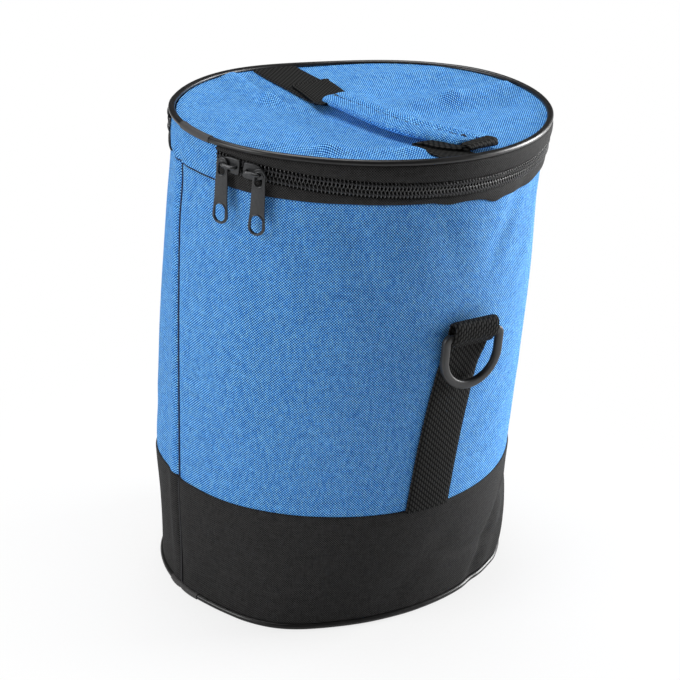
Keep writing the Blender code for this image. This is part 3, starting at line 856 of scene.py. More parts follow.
def build_base():
    """The underside's cloth, the foam on it and the lining on that."""
    inside = -PIPING_RADIUS - GAP - 2.6 * MM
    low, high = node_heights("base_panel")
    seen(oval_sheet("base_cloth", BLACK, inside, flat_at(high), high - low), "bag",
         "black_fabric", "base_panel")
    low, high = node_heights("base_foam")
    foam = oval_sheet("base_foam_sheet", FOAM, inside - 1.2 * MM, flat_at(high), high - low)
    seen(foam, "bag", "foam", "base_foam")
    top, ripple = node_heights("base_liner")[1], 0.15 * MM

    def rippled(x, y):
        return top - ripple + ripple * np.sin(x / (9 * MM)) * np.cos(y / (11 * MM))

    inside = -FABRIC - 4 * GAP - WALL_FOAM - LINER - 3.0 * MM
    seen(oval_sheet("base_lining", FOIL, inside, rippled, LINER), "bag", "liner_foil",
         "base_liner")


def build_lid():
    """The lid's cloth, the foam and lining under it, and the tape round them."""
    cloth = oval_sheet("lid_cloth", BLUE, 0.1 * MM - PIPING_RADIUS, lid_height, CLOTH, 44,
                       2.6 * MM)
    seen(cloth, "lid", "blue_fabric", "lid_panel")
    low, high = node_heights("lid_foam")
    thickness = high - low - 0.5 * MM
    foam = oval_sheet("lid_foam_sheet", FOAM, -4.2 * MM, under_lid(FABRIC + GAP), thickness)
    seen(foam, "lid", "foam", "lid_foam")
    lining = oval_sheet("lid_lining", FOIL, -6.6 * MM, under_lid(FABRIC + 2 * GAP + thickness),
                        LINER, 24)
    seen(lining, "lid", "liner_foil", "lid_liner")
    low, high = node_heights("lid_seam_binding")
    binding = wall_sheet("lid_binding", BLACK, banded(
        shifted(rim_rise, low), shifted(rim_rise, high), rows_between(low, high, 0.7 * MM),
        base=-2.5 * MM, turn_in=0.2 * MM), 1.2 * MM, step=4 * MM)
    seen(binding, "lid", "black_fabric", "lid_seam_binding")


# ---------------------------------------------------------------- piping
def piping_ring(name, material, height, start, end, section):
    """A cord round the wall's edge, between two angles."""
    angles = stretch_angles(start, end, 2.0 * MM)[0]
    shape = Shape()
    sweep(shape, wall(angles, height(angles)), outward(angles), (0, 0, 1), section)
    return shape.make(name, material, 60)


def build_piping():
    """Each ring is open at the hinge end, where a flat sleeve joins its ends."""
    small = math.degrees(GAP / END_RADIUS)
    round_cord = round_section(PIPING_RADIUS + 0.15 * MM, PIPING_RADIUS, 14)
    flat_sleeve = round_section(PIPING_RADIUS * 1.2, PIPING_RADIUS * 1.12, 14, 2.8)
    for part, body, height, start, end in (
            ("lid", "lid", shifted(rim_rise, LID_PIPE_Z), 174.0, 193.5),
            ("base", "bag", shifted(np.zeros_like, BASE_PIPE_Z), 176.0, 195.5)):
        cord = piping_ring(part + "_piping_cord", PIPE, height, end - 360 + small,
                           start - small, round_cord)
        seen(cord, body, "piping", part + "_piping")
        sleeve = piping_ring(part + "_piping_sleeve", SLEEVE, height, start, end, flat_sleeve)
        seen(sleeve, body, "piping", part + "_piping_splice")


# ---------------------------------------------------------------- zip and hinge
ZIP_START, ZIP_END = -162.0, 158.0
COIL_PITCH = 2.1 * MM
COIL_WIRE = 0.42 * MM
COIL_MIDDLE, COIL_REACH = 1.775 * MM, 2.525 * MM   # each coil's place from the centre line
COIL_LEAN = 0.62 * MM              # how far the wire leans along the zip as it crosses


def slider_angle(name):
    """Angle of a slider about the centre of the arc that it travels on."""
    middle = sum(node_box(name)) / 2
    place = np.array(JOINTS[name + "_travel"]["pos_m"])
    return math.degrees(math.atan2(middle[1] - place[1], middle[0] - place[0]))


def zip_opening(angle):
    """Half the gap between the coils: they part between the two sliders."""
    first, second = sorted((slider_angle("slider_a"), slider_angle("slider_b")))
    part = turned(angle, first) / (second - first)
    return 0.9 * MM * np.where((part > 0) & (part < 1), np.sin(math.pi * np.clip(part, 0, 1)), 0)


def tape_edge(side):
    """Height function of a zip tape's inner edge, above (+1) or below (-1)."""
    return lambda angle: zip_height(angle) + side * (0.9 * MM + zip_opening(angle))


def coil_wire(name, material, side, t, lean, rise, stand, half_width, half_height):
    """A wire along one side of the zip, t turns of the coil from its start. It
    leans along the zip, rises from the coil's middle and stands off the wall."""
    angle = angle_at(np.clip(arc_at(ZIP_START) + t * COIL_PITCH + lean, 0, GIRTH))
    height = zip_height(angle) + side * (COIL_MIDDLE + zip_opening(angle) + rise)
    shape = Shape()
    wire(shape, wall(angle, height, stand), outward(angle), half_width, half_height, 6)
    return shape.make(name, material, 80)


def build_coil(name, body, node, side):
    """One coil of the zip, side +1 above the centre line: a wound monofilament,
    with the row of sewing that holds it to its tape."""
    turns = round((arc_at(ZIP_END) - arc_at(ZIP_START)) % GIRTH / COIL_PITCH)
    t = np.arange(turns * 12 + 1) / 12
    phase = 2 * math.pi * t + (math.pi if side > 0 else 0)
    coil = coil_wire(name, COIL, side, t, COIL_LEAN * np.sin(phase),
                     -COIL_REACH * np.cos(phase), 0.85 * MM + 0.6 * MM * np.sin(phase),
                     COIL_WIRE, COIL_WIRE)
    t = np.arange(turns * 8 + 1) / 8
    sewing = coil_wire(name + "_sewing", BLACK_THREAD, side, t, 0,
                       0.7 * MM + 0.5 * MM * np.sin(2 * math.pi * t),
                       1.62 * MM + 0.12 * MM * np.cos(4 * math.pi * t), 0.36 * MM, 0.30 * MM)
    seen(sewing, body, "zipper_coil")
    seen(coil, body, "zipper_coil", node)


def build_zip():
    """Each half: a facing beside the coil, and the tape that the coil is sewn to."""
    rim = shifted(rim_rise, LID_PIPE_Z - PIPING_RADIUS + 0.5 * MM)
    foot = shifted(panel_top, -0.6 * MM)
    upper_lip, lower_lip = (shifted(zip_height, rise * MM) for rise in (4.3, -4.5))
    for half, body, facing, facing_shape, rows, tape in (
            ("upper", "lid", (upper_lip, rim), (0.9 * MM, 0.7 * MM, 1.5 * MM), 9,
             (tape_edge(1), upper_lip)),
            ("lower", "bag", (foot, lower_lip), (0.5 * MM, 0.5 * MM, 0.75 * MM), 7,
             (lower_lip, tape_edge(-1)))):
        front = wall_sheet("zip_facing_" + half, BLACK, banded(
            *facing, rows_between(0, rows, 1), *facing_shape), CLOTH, (ZIP_START, ZIP_END))
        hidden = wall_sheet("zip_tape_" + half, BLACK, banded(
            *tape, rows_between(0, 5, 1), turn_in=0, base=-0.35 * MM), TAPE,
            (ZIP_START, ZIP_END))
        cloth = joined(f"zip_tape_{half}_cloth", front, hidden)
        seen(cloth, body, "black_fabric", "zipper_tape_" + half)
    build_coil("zip_coil_upper", "lid", "zipper_coil_upper", 1)
    build_coil("zip_coil_lower", "bag", "zipper_coil_lower", -1)


def build_hinge():
    """The fabric hinge: one blue panel from the wall up to the lid's piping."""
    edge = math.degrees(GAP / END_RADIUS)
    low = PANEL_TOP + 0.1 * MM
    rim = shifted(rim_rise, LID_PIPE_Z - PIPING_RADIUS + 0.4 * MM)
    plain = banded(low, rim, rows_between(low, LID_PIPE_Z, 1.6 * MM), 1.1 * MM, 2.0 * MM)

    def rippled(angle):
        offset, height = plain(angle)
        ripple = 0.5 * MM * np.sin(np.radians(angle) * 11)
        return offset + ripple * hump(height, 281 * MM, 7 * MM), height

    hinge = wall_sheet("hinge_cloth", BLUE, rippled, CLOTH,
                       (ZIP_END + edge, ZIP_START + 360 - edge), step=2 * MM)
    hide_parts("hinge_panel", "hinge_flap")
    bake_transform(hinge)


# ---------------------------------------------------------------- sliders
def outline_plate(name, material, loops, thickness, bevel, matrix):
    """A plate with holes: loops of (x, y) points, the outer one first, bevelled
    all round, with its middle plane on the matrix's XY plane."""
    curve = bpy.data.curves.new(name, "CURVE")
    curve.dimensions = "2D"
    curve.fill_mode = "BOTH"
    curve.extrude = thickness / 2 - bevel
    curve.bevel_depth = bevel
    curve.bevel_resolution = 2
    curve.offset = -bevel
    for loop in loops:
        spline = curve.splines.new("POLY")
        spline.points.add(len(loop) - 1)
        spline.use_cyclic_u = True
        for point, spot in zip(spline.points, loop):
            point.co = (*spot, 0, 1)
    source = bpy.data.objects.new(name + "_curve", curve)
    bpy.context.collection.objects.link(source)
    bpy.context.view_layer.update()
    evaluated = source.evaluated_get(bpy.context.evaluated_depsgraph_get())
    mesh = bpy.data.meshes.new_from_object(evaluated)
    bpy.data.objects.remove(source, do_unlink=True)
    bpy.data.curves.remove(curve)
    mesh.name = name
    mesh.transform(matrix)
    clean = bmesh.new()
    clean.from_mesh(mesh)
    bmesh.ops.remove_doubles(clean, verts=clean.verts, dist=0.00001)
    bmesh.ops.recalc_face_normals(clean, faces=clean.faces)
    clean.to_mesh(mesh)
    clean.free()
    mesh.shade_smooth()
    mesh.set_sharp_from_angle(angle=math.radians(40))
    obj = bpy.data.objects.new(name, mesh)
    bpy.context.collection.objects.link(obj)
    mesh.materials.clear()
    mesh.materials.append(material)
    return obj


def arc_points(centre, radius, start, end, steps):
    """Points (x, y) of an arc between two angles in degrees."""
    turns = np.radians(np.linspace(start, end, steps + 1))
    return np.stack((centre[0] + radius * np.cos(turns), centre[1] + radius * np.sin(turns)), -1)


def oblong(centre_y, width, height, steps=10):
    """A closed loop with straight sides and round ends."""
    radius = width / 2
    straight = height / 2 - radius
    return np.concatenate((arc_points((0, centre_y + straight), radius, 0, 180, steps),
                           arc_points((0, centre_y - straight), radius, 180, 360, steps)))


def slider_axes(name, level):
    """Matrix at a slider: x along the zip, y up it, z outwards from the wall."""
    out = outward(slider_angle(name))
    place, axis = (np.array(JOINTS[name + "_travel"][key]) for key in ("pos_m", "axis"))
    axis = unit(axis)
    radius = END_RADIUS if place[0] < -1 * MM else FLANK_RADIUS
    spot = place + radius * out
    spot[2] = place[2] - radius * (out[:2] @ axis[:2]) / axis[2]
    along = np.array((-out[1], out[0], 0.0))
    if not level:
        along[2] = -(along[:2] @ axis[:2]) / axis[2]
    along = unit(along)
    turn = Matrix((along, np.cross(out, along), out)).transposed()
    return Matrix.Translation(Vector(spot)) @ turn.to_4x4()


def placed(axes, points):
    """Points given in a slider's axes, or directions if axes is a rotation."""
    return np.array([axes @ Vector(point) for point in points])


def slider_plate_loop(half_length, half_height, toward):
    """Shield outline: wide where the closed zip leaves, tapered at the nose."""
    shape = [(-1.0, 0.80), (-0.86, 1.0), (0.0, 1.0), (0.45, 0.93), (0.82, 0.72), (1.0, 0.40)]
    upper = [(toward * half_length * x, half_height * y) for x, y in shape]
    lower = [(x, -y) for x, y in reversed(upper)]
    return upper + lower


def build_slider(letter, toward):
    """Front and back plates with turned edges, the wedge between them, and the
    arched crown. toward is the end, along the zip, that the nose points to."""
    name = "slider_" + letter
    axes = slider_axes(name, level=False)
    x_axis, y_axis, out = placed(axes.to_3x3(), np.eye(3))
    half_length, half_height = 5.9 * MM, 4.2 * MM
    loop = slider_plate_loop(half_length, half_height, toward)
    plates = [outline_plate(name + part, SLIDER, [loop], thickness * MM, bevel * MM,
                            axes @ Matrix.Translation((0, 0, middle * MM)))
              for part, thickness, bevel, middle in (("_front", 1.1, 0.35, 2.85),
                                                     ("_back", 0.9, 0.2, -2.5))]
    shape = Shape()
    for side in (-1, 1):
        edge = [(toward * x * half_length, side * half_height * y, 2.1 * MM)
                for x, y in ((-0.9, 0.93), (-0.5, 0.94), (0.1, 0.92), (0.5, 0.84))]
        wire(shape, placed(axes, smooth_route(edge, 0.8 * MM)), out, 0.42 * MM, 0.75 * MM, 10)
    wedge = placed(axes, [(0, 0, -2.2 * MM), (0, 0, 2.5 * MM)])
    sweep(shape, wedge, x_axis, y_axis, round_section(2.6 * MM, 0.5 * MM, 12))
    body = joined(name + "_body", *plates, shape.make(name + "_flanges", SLIDER))
    seen(body, name, "slider_metal", name)
    reach, foot, top, bend = 4.0 * MM, 3.0 * MM, 6.4 * MM, 1.7 * MM
    route = [(-reach, foot), (-reach, foot + 0.8 * MM),
             *arc_points((bend - reach, top - bend), bend, 180, 90, 5),
             *arc_points((reach - bend, top - bend), bend, 90, 0, 5),
             (reach, foot + 0.8 * MM), (reach, foot)]
    path = placed(axes, [(x, 0, z) for x, z in route])
    across, up = frames(path, y_axis)
    shape = Shape()
    sweep(shape, path, across, up, round_section(0.85 * MM, 1.0 * MM, 12, 2.4))
    seen(shape.make(name + "_arch", SLIDER), name, "slider_metal", name + "_crown")


def build_pull(letter):
    """Die-cast tab: an eye for the crown's leg, a shank, and a finger hole with
    a raised rim."""
    name = "pull_" + letter
    axes = slider_axes("slider_" + letter, level=True)
    axes.translation = pivot = Vector(JOINTS[name + "_swing"]["pos_m"])
    foot, top = (height - pivot.z for height in node_heights(name))
    shoulder, waist, tip = 3.6 * MM, 3.9 * MM, 4.9 * MM
    left = [(-shoulder, -4.5 * MM), (-waist, -9 * MM), (-waist - 0.2 * MM, -20 * MM)]
    right = [(-x, y) for x, y in reversed(left)]
    outer = [*arc_points((0, top - shoulder), shoulder, 0, 180, 12), *left,
             *arc_points((0, foot + tip), tip, 180, 360, 14), *right]
    eye, hole = -2.6 * MM, foot + 6.4 * MM     # heights of the two openings' middles
    loops = [outer, oblong(eye, 4.0 * MM, 7.0 * MM), oblong(hole, 6.6 * MM, 10.0 * MM)]
    lift = Matrix.Translation((0, 0, 0.55 * MM))
    tab = outline_plate(name + "_tab", SLIDER, loops, 1.1 * MM, 0.3 * MM, axes @ lift)
    out = placed(axes.to_3x3(), [(0, 0, 1)])[0]
    shape = Shape()
    for loop, radius in ((oblong(hole, 7.6 * MM, 11.0 * MM, 14), 0.62 * MM),
                         (oblong(eye, 5.2 * MM, 8.2 * MM, 12), 0.55 * MM)):
        path = without_repeats(placed(axes, [(x, y, 0.65 * MM) for x, y in loop]))
        wire(shape, path, out, radius, 0.85 * MM, 10, closed=True)
    rims = shape.make(name + "_rims", SLIDER, 60)
    seen(joined(name + "_piece", tab, rims), name, "slider_metal", name)


# ---------------------------------------------------------------- straps, rings
LOOP_RISE = 5.5 * MM               # how far each strap's loop stands above the ring's bar


def thinned(part):
    """Webbing's thickness at parts of its half width: thinner at both edges."""
    return 1 - 0.55 * smooth_step(0.86, 1.0, np.abs(part))


def build_strap(name, side, node, ring):
    """Webbing up the wall, and one tall turn that holds the ring's bar. Its
    route is in side view: distance out of the wall, and height."""
    foot = node_heights(node)[0]
    place = np.array(JOINTS[ring + "_swing"]["pos_m"])
    rise = place[2] - foot
    lean = place[0] / rise
    bar_out = abs(place[1]) - HALF_WIDTH
    loop_radius = 1.9 * MM + 0.35 * MM + WEBBING / 2
    upright = [(0.9 * MM, z) for z in np.arange(foot - 2 * MM, place[2] - 4 * MM, 2.5 * MM)]
    over = arc_points((bar_out, place[2] + LOOP_RISE), loop_radius, 180, 0, 18)
    under = arc_points((bar_out, place[2]), loop_radius, 0, -62, 8)
    tail = [under[-1] - k * np.array((0.9, 1.6)) * MM for k in (1, 2)]
    route = np.concatenate((upright, over, under, tail))
    on_wall = smooth_step(place[2] - 8 * MM, place[2] - 26 * MM, route[:, 1])
    along = unit(np.gradient(route, axis=0))
    normal = np.stack((along[:, 1], -along[:, 0]), -1)
    widths = np.linspace(-1, 1, 17)
    faces = []
    for face in (0.5, -0.5):
        columns = []
        for part in widths:
            out, z = (route + normal * (face * WEBBING * thinned(part))).T
            up = (z - foot) / rise
            bow = 2.2 * MM * np.sin(math.pi * np.clip(up, 0, 1))
            x = part * WEBBING_WIDTH / 2 + lean * rise * np.minimum(up, 1) - np.sign(lean) * bow
            flank = np.sqrt(FLANK_RADIUS**2 - x**2)
            soft = flank - FLANK_CENTRE + swell(np.degrees(np.arctan2(side * flank, x)), z)
            y = on_wall * soft + (1 - on_wall) * HALF_WIDTH + out
            columns.append(np.stack((x, side * y, z), -1))
        faces.append(np.array(columns))
    uv = np.meshgrid(widths * WEBBING_WIDTH / 2, run_lengths(route), indexing="ij")
    shape = Shape()
    add_shell(shape, *faces, np.stack(uv, -1))
    seen(shape.make(name, WEB, 60), "bag", "black_webbing", node)


def build_ring(ring, side):
    """D-ring: a straight bar and a rounded bow, with softened edges."""
    low, high = node_box(ring)
    place = np.array(JOINTS[ring + "_swing"]["pos_m"])
    section, thick, corner = 5.0 * MM, 3.8 * MM, 3.0 * MM
    outer = (high[0] - low[0]) / 2
    middle = outer - section / 2
    half_bar = WEBBING_WIDTH / 2 + 0.6 * MM
    path = without_repeats(np.concatenate((
        arc_points((0, low[2] + outer - place[2]), middle, 180, 360, 40),
        arc_points((middle - corner, -corner), corner, 0, 90, 8),
        [(x, 0) for x in np.linspace(half_bar, -half_bar, 13)],
        arc_points((corner - middle, -corner), corner, 90, 180, 8))))
    spots = place + np.insert(path, 1, 0, axis=1)
    bow = round_section(section / 2, thick / 2, 20, 3.4)
    bar = round_section(1.85 * MM, 1.85 * MM, 20)
    on_bar = (np.abs(path[:, 0]) <= half_bar + 0.1 * MM) & (np.abs(path[:, 1]) < 0.1 * MM)
    sections = np.where(on_bar[:, None, None], bar, bow)
    across, up = frames(spots, (0, side, 0), closed=True)
    shape = Shape()
    sweep(shape, spots, across, up, sections, closed=True)
    seen(shape.make(ring + "_piece", RING, 50), ring, "d_ring_plastic", ring)


# ---------------------------------------------------------------- handle
# Centre line of the grip as it lies on the lid
GRIP_LINE = np.array([(-14, 13, 297.0), (-10.3, -7, 297.1), (-6.2, -30, 297.3),
                      (-1.6, -48, 297.3), (7, -63, 297.0), (19, -82, 296.6)]) * MM
GRIP_WIDTH = 25 * MM
GRIP_SEAM = -3.2 * MM              # the sewn seam, to the side of the centre line
GRIP_DEPTH = 6.4 * MM


def strip(shape, path, across, width, thickness):
    """Flat webbing along a path, with thinner edges; across is its width's way."""
    path = np.asarray(path, float)
    across = unit(np.broadcast_to(np.asarray(across, float), path.shape))
    normal = unit(np.cross(across, unit(np.gradient(path, axis=0))))
    widths = np.linspace(-1, 1, 15)
    faces = [path[None] + across[None] * (widths * width / 2)[:, None, None]
             + normal[None] * (face * thickness * thinned(widths))[:, None, None]
             for face in (0.5, -0.5)]
    uv = np.stack(np.meshgrid(widths * width / 2, run_lengths(path), indexing="ij"), -1)
    add_shell(shape, *faces, uv)


def over_lid(points, lift, step=2 * MM):
    """A route (x, y) laid on the lid, lift above its cloth."""
    flat = smooth_route(np.array(points, float) * MM, step)
    return np.column_stack((flat, lid_height(flat[:, 0], flat[:, 1]) + lift))


def build_far_web():
    """The handle's far end: webbing along the lid, and its folded end on top."""
    far = over_lid([(-6.8, 91), (-6.8, 70), (-7.4, 45), (-8.2, 24)], 1.2 * MM)
    rising = np.array([(-12.0, 12, 295.4), (-12.4, 4, 296.6)]) * MM
    far = smooth_route(np.concatenate((far, rising)), 2 * MM)
    fold = over_lid([(-5, 52.5), (-7, 40), (-9.3, 28), (-11.5, 16.5)], 1.3 * MM + WEBBING)
    fold[0, 2] += 0.7 * MM
    shape = Shape()
    strip(shape, far, (1, 0, 0), WEBBING_WIDTH, WEBBING)
    strip(shape, fold, (0.99, 0.12, 0), WEBBING_WIDTH - 2 * MM, WEBBING)
    web = shape.make("handle_far_webbing", WEB, 60)
    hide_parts("handle_web_far")
    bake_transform(web)


def build_near_web():
    """The handle's near end: flat on the lid, folded back over itself, and
    rolled up to the grip."""
    lid_z = float(lid_height(0.0, -86 * MM))
    bottom, middle, top = lid_z + 1.1 * MM, lid_z + 3.0 * MM, 298.2 * MM
    roll = (top - middle) / 2
    route = [(x * MM, y * MM, z) for x, y, z in (
        (1, -93.2, bottom), (-1, -84, bottom), (-2, -74, bottom), (-2, -69, bottom),
        (-1, -67.6, (bottom + middle) / 2), (1, -69, middle), (5, -76, middle),
        (15, -84.5, middle))]
    heading, start = unit((6, -17)), np.array((18.0, -86.0)) * MM
    for angle in np.radians(np.linspace(-67, 90, 8)):
        spot = start + heading * roll * math.cos(angle)
        route.append((*spot, middle + roll + roll * math.sin(angle)))
    route.append((16.0 * MM, -82 * MM, top))
    route = smooth_route(route, 1.2 * MM)
    folded = (route[:, 0] < 14 * MM) & (route[:, 2] < middle + roll)
    route[folded, 2] = np.minimum(route[folded, 2], middle)
    weight = smooth_step(bottom, middle + 1 * MM, route[:, 2:3])
    across = unit(np.array((0.95, -0.30, 0)) * (1 - weight) + np.array((0.97, 0.24, 0)) * weight)
    shape = Shape()
    strip(shape, route, across, 24 * MM, WEBBING)
    web = shape.make("handle_near_webbing", WEB, 60)
    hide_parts("handle_web_near")
    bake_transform(web)


def grip_frame(points):
    """For points near the grip: distance along its centre line, distance to the
    side of it, the line's height there, and the line's length."""
    line = smooth_route(GRIP_LINE, 1 * MM)
    length = run_lengths(line)
    nearest = np.linalg.norm(points[:, None, :2] - line[None, :, :2], axis=2).argmin(axis=1)
    along = unit(np.gradient(line, axis=0))[nearest]
    delta = points - line[nearest]
    side = delta[:, 0] * -along[:, 1] + delta[:, 1] * along[:, 0]
    forward = (delta[:, :2] * along[:, :2]).sum(axis=1)
    return length[nearest] + forward, side, line[nearest][:, 2], length[-1]


def puff(obj, voxel, pressure, cap):
    """Swell a closed mesh with a cloth simulation, and apply the result."""
    bpy.context.view_layer.objects.active = obj
    remesh = obj.modifiers.new("remesh", "REMESH")
    remesh.mode = "VOXEL"
    remesh.voxel_size = voxel
    remesh.use_smooth_shade = True
    bpy.ops.object.modifier_apply(modifier=remesh.name)
    before = np.array([vertex.co for vertex in obj.data.vertices])
    cloth = obj.modifiers.new("cloth", "CLOTH")
    cloth.settings.use_pressure = True
    cloth.settings.uniform_pressure_force = pressure
    cloth.settings.effector_weights.gravity = 0
    cloth.settings.quality = 6
    cloth.point_cache.frame_start, cloth.point_cache.frame_end = 1, 20
    scene = bpy.context.scene
    for number in range(1, 21):
        scene.frame_set(number)
    bpy.ops.object.modifier_apply(modifier=cloth.name)
    scene.frame_set(1)
    after = np.array([vertex.co for vertex in obj.data.vertices])
    move = after - before
    size = np.linalg.norm(move, axis=1, keepdims=True)
    after = before + move * np.minimum(1, cap / np.maximum(size, 1e-9))
    obj.data.vertices.foreach_set("co", after.astype(np.float32).ravel())
    subdivide = obj.modifiers.new("subdivision", "SUBSURF")
    subdivide.levels = subdivide.render_levels = 1
    bpy.ops.object.modifier_apply(modifier=subdivide.name)


def grip_sleeve():
    """The sleeve before it is sewn: narrower at both ends, and swelled."""
    line = smooth_route(GRIP_LINE, 3 * MM)
    across, up = frames(line, (0, 0, 1))
    to_end = np.arange(len(line))[::-1]
    cut = np.exp(-to_end / 3.0)[:, None]
    across = unit(across * (1 - cut) + np.sign(across[-1, 0]) * np.array((1.0, 0.04, 0)) * cut)
    scale = 1 - 0.28 * np.exp(-np.minimum(to_end, to_end[::-1]) / 0.8)
    section = round_section(GRIP_WIDTH / 2, GRIP_DEPTH / 2, 24, 2.8)
    shape = Shape()
    sweep(shape, line, across, up, section * np.stack((0.8 + 0.2 * scale, scale), -1)[:, None])
    grip = shape.make("handle_grip_sleeve", BLUE)
    puff(grip, 2.6 * MM, 3.0, 1.4 * MM)
    return grip


def sew_grip(mesh):
    """Draw the sleeve in along its seam, with puckers beside it, and lay UVs in
    metres round it."""
    points = np.array([vertex.co for vertex in mesh.vertices])
    normals = np.array([vertex.normal for vertex in mesh.vertices])
    along, side, middle, total = grip_frame(points)
    inside = smooth_step(0, 8 * MM, np.minimum(along, total - along))
    groove = 1.6 * MM * hump(side, GRIP_SEAM, 1.2 * MM) * inside
    pucker = 0.30 * MM * np.sin(along / (1.1 * MM)) * hump(np.abs(side), 3.5 * MM, 3.5 * MM)
    sag = 0.5 * MM * np.sin(along / (13 * MM) + 1.0) * np.abs(side) / (GRIP_WIDTH / 2)
    points[:, 2] += normals[:, 2] * (pucker - groove) + sag
    mesh.vertices.foreach_set("co", points.astype(np.float32).ravel())
    drop = (middle + GRIP_DEPTH / 2 - points[:, 2]).clip(0)
    under = GRIP_WIDTH + 2 * MM - np.abs(side)
    around = np.where(points[:, 2] >= middle, np.abs(side), under) + 0.8 * drop
    layer = mesh.uv_layers[0] if mesh.uv_layers else mesh.uv_layers.new(name="cloth")
    index = np.array([loop.vertex_index for loop in mesh.loops])
    spots = np.stack((along[index], around[index]), -1)
    layer.data.foreach_set("uv", spots.astype(np.float32).ravel())
    mesh.update()
    mesh.shade_smooth()


def build_grip():
    """Padded sleeve round the webbing, with one row of stitching along it."""
    grip = grip_sleeve()
    sew_grip(grip.data)
    seen(grip, "handle", "blue_fabric", "handle_grip")
    line = smooth_route(GRIP_LINE, 0.5 * MM)
    across = frames(line, (0, 0, 1))[0]
    top = line + across * np.sign(across[0, 0]) * GRIP_SEAM + (0, 0, GRIP_DEPTH / 2 - 0.35 * MM)
    shape = Shape()
    stitches(shape, top[16:-16], 3.4 * MM, 0.24 * MM)
    seen(shape.make("grip_stitching", SEAM_THREAD, 60), "handle", "blue_fabric")
    shape = Shape()
    for end in (top[8:20], top[-20:-8]):
        stitches(shape, end + (0, 0, 0.25 * MM), 2.9 * MM, 0.42 * MM)
    seen(shape.make("grip_stitch_knots", BLACK_THREAD, 60), "handle", "black_webbing")
    core = smooth_route(GRIP_LINE, 4 * MM)[2:-2]
    shape = Shape()
    strip(shape, core, frames(core, (0, 0, 1))[0], 20 * MM, WEBBING)
    seen(shape.make("grip_core_webbing", WEB), "handle", "black_webbing", "handle_core")


def stitches(shape, path, pitch, radius):
    """A row of sewn stitches: short bent threads, one after another on a path."""
    length = run_lengths(path)
    for number in range(int(length[-1] / pitch)):
        spots = (number + np.array([0.03, 0.15, 0.5, 0.85, 0.97])) * pitch
        points = np.stack([np.interp(spots, length, path[:, axis]) for axis in range(3)], -1)
        points[:, 2] += radius * np.array([-0.8, 0.3, 0.8, 0.3, -0.8])
        wire(shape, points, (0, 0, 1), radius, sides=6)


# ---------------------------------------------------------------- the studio
WHITE = (1, 1, 1, 1)
STUDIO_REACH = 6.0                 # metres from the object to the studio's edge
FADE_START, FADE_END = 0.06, 0.30  # the far floor's fade, in metres from the middle
FADE_LEAST = 0.72                  # how much of the far floor is seen before its fade


def build_studio():
    """White floor, faint white air, and a soft light at either side and above."""
    scene = bpy.context.scene
    scene.view_settings.view_transform = "Standard"
    scene.world = bpy.data.worlds.new("studio_air")
    scene.world.use_nodes = True
    air = scene.world.node_tree.nodes["Background"].inputs
    air["Color"].default_value = WHITE
    air["Strength"].default_value = 0.07
    mesh = bpy.data.meshes.new("studio_floor")
    corners = [(STUDIO_REACH * x, STUDIO_REACH * y, 0)
               for x, y in ((-1, -1), (1, -1), (1, 1), (-1, 1))]
    mesh.from_pydata(corners, [], [(0, 1, 2, 3)])
    floor = bpy.data.objects.new("studio_floor", mesh)
    bpy.context.collection.objects.link(floor)
    paper = Graph("studio_paper", 0.9, specular=0.1)
    paper.shader.inputs["Emission Color"].default_value = WHITE
    paper.shader.inputs["Emission Strength"].default_value = 0.10
    grain = paper.noise(paper.coordinates("Object")[0], 400.0, 2.0)
    mesh.materials.append(paper.finish(paper.ramp(grain, (0.3, (0.74, 0.74, 0.74)),
                                                  (0.7, (0.77, 0.77, 0.77)))))
    build_backdrop()
    for name, place, aim, size, power in (
            ("left_softbox", (-1.5, 0.1, 0.8), (0, 0, 0.15), 0.8, 15.5),
            ("right_softbox", (1.6, -0.32, 0.52), (0, 0, 0.15), 0.8, 47.0),
            ("top_softbox", (0.0, 0.6, 2.2), (0, 0, 0.2), 1.4, 36.5)):
        light = bpy.data.lights.new(name, "AREA")
        light.shape = "SQUARE"
        light.size = size
        light.energy = power
        lamp = bpy.data.objects.new(name, light)
        bpy.context.collection.objects.link(lamp)
        lamp.location = place
        lamp.rotation_euler = (Vector(aim) - Vector(place)).to_track_quat("-Z", "Y").to_euler()


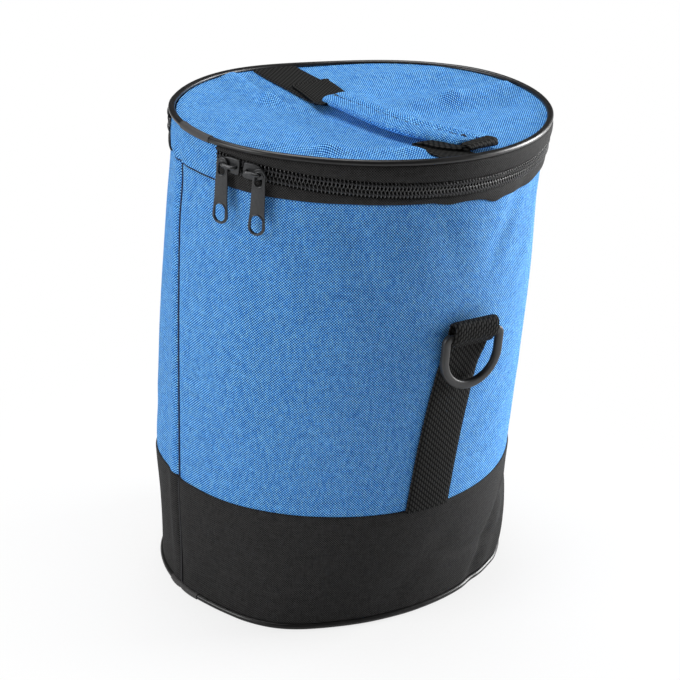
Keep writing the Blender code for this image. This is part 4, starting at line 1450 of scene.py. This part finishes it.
def build_backdrop():
    """White paper beyond the floor that the object stands on: a dome, and a disc
    that fades in over the floor. Both are only seen, and light nothing."""
    for name, fades in (("studio_dome", False), ("studio_far_floor", True)):
        made = bmesh.new()
        if fades:
            bmesh.ops.create_circle(made, cap_ends=True, segments=96, radius=STUDIO_REACH)
            bmesh.ops.translate(made, verts=made.verts, vec=(0, 0, 0.2 * MM))
        else:
            bmesh.ops.create_uvsphere(made, u_segments=48, v_segments=24, radius=STUDIO_REACH)
        mesh = bpy.data.meshes.new(name)
        made.to_mesh(mesh)
        made.free()
        graph = Graph(name + "_paper", 1.0)
        surface = graph.node("Emission", {"Color": WHITE, "Strength": 1.0}).outputs[0]
        if fades:
            spot = graph.coordinates("Object")[0]
            away = graph.node("VectorMath", {0: spot}, operation="LENGTH").outputs["Value"]
            fade = {"Value": away, "From Min": FADE_START, "From Max": FADE_END,
                    "To Min": FADE_LEAST, "To Max": 1.0}
            part = graph.node("MapRange", fade, interpolation_type="SMOOTHSTEP").outputs[0]
            clear = graph.node("BsdfTransparent").outputs[0]
            surface = graph.node("MixShader", {0: part, 1: clear, 2: surface}).outputs[0]
        graph.tree.links.new(surface, graph.tree.nodes["Material Output"].inputs["Surface"])
        mesh.materials.append(graph.material)
        paper = bpy.data.objects.new(name, mesh)
        bpy.context.collection.objects.link(paper)
        paper.visible_diffuse = paper.visible_glossy = paper.visible_transmission = False
        paper.visible_volume_scatter = paper.visible_shadow = False


def build_camera():
    """The view: from the near left, 26 degrees above the floor, rolled a little."""
    azimuth, elevation, roll = math.radians(-34.9), math.radians(25.73), math.radians(4.62)
    distance, target = 0.99395, Vector((-0.00702, -0.00313, 0.1472))
    back = Vector((math.sin(azimuth) * math.cos(elevation),
                   -math.cos(azimuth) * math.cos(elevation), math.sin(elevation)))
    right = (-back).cross(Vector((0, 0, 1))).normalized()
    up = right.cross(-back)
    across = math.cos(roll) * right + math.sin(roll) * up
    over = -math.sin(roll) * right + math.cos(roll) * up
    turn = Matrix((across, over, back)).transposed()
    data = bpy.data.cameras.new("view")
    data.lens = 86.22
    data.sensor_width = 36
    camera = bpy.data.objects.new("view", data)
    bpy.context.collection.objects.link(camera)
    camera.matrix_world = Matrix.Translation(target + back * distance) @ turn.to_4x4()
    bpy.context.scene.camera = camera


build_camera()
build_studio()
build_wall()
build_seams()
build_base()
build_lid()
build_piping()
build_zip()
build_hinge()
build_slider("a", -1)
build_slider("b", 1)
for letter in "ab":
    build_pull(letter)
for side, place in ((-1, "near"), (1, "far")):
    build_strap(f"strap_{place}", side, f"d_ring_strap_{place}", f"d_ring_{place}")
    build_ring(f"d_ring_{place}", side)
build_far_web()
build_near_web()
build_grip()
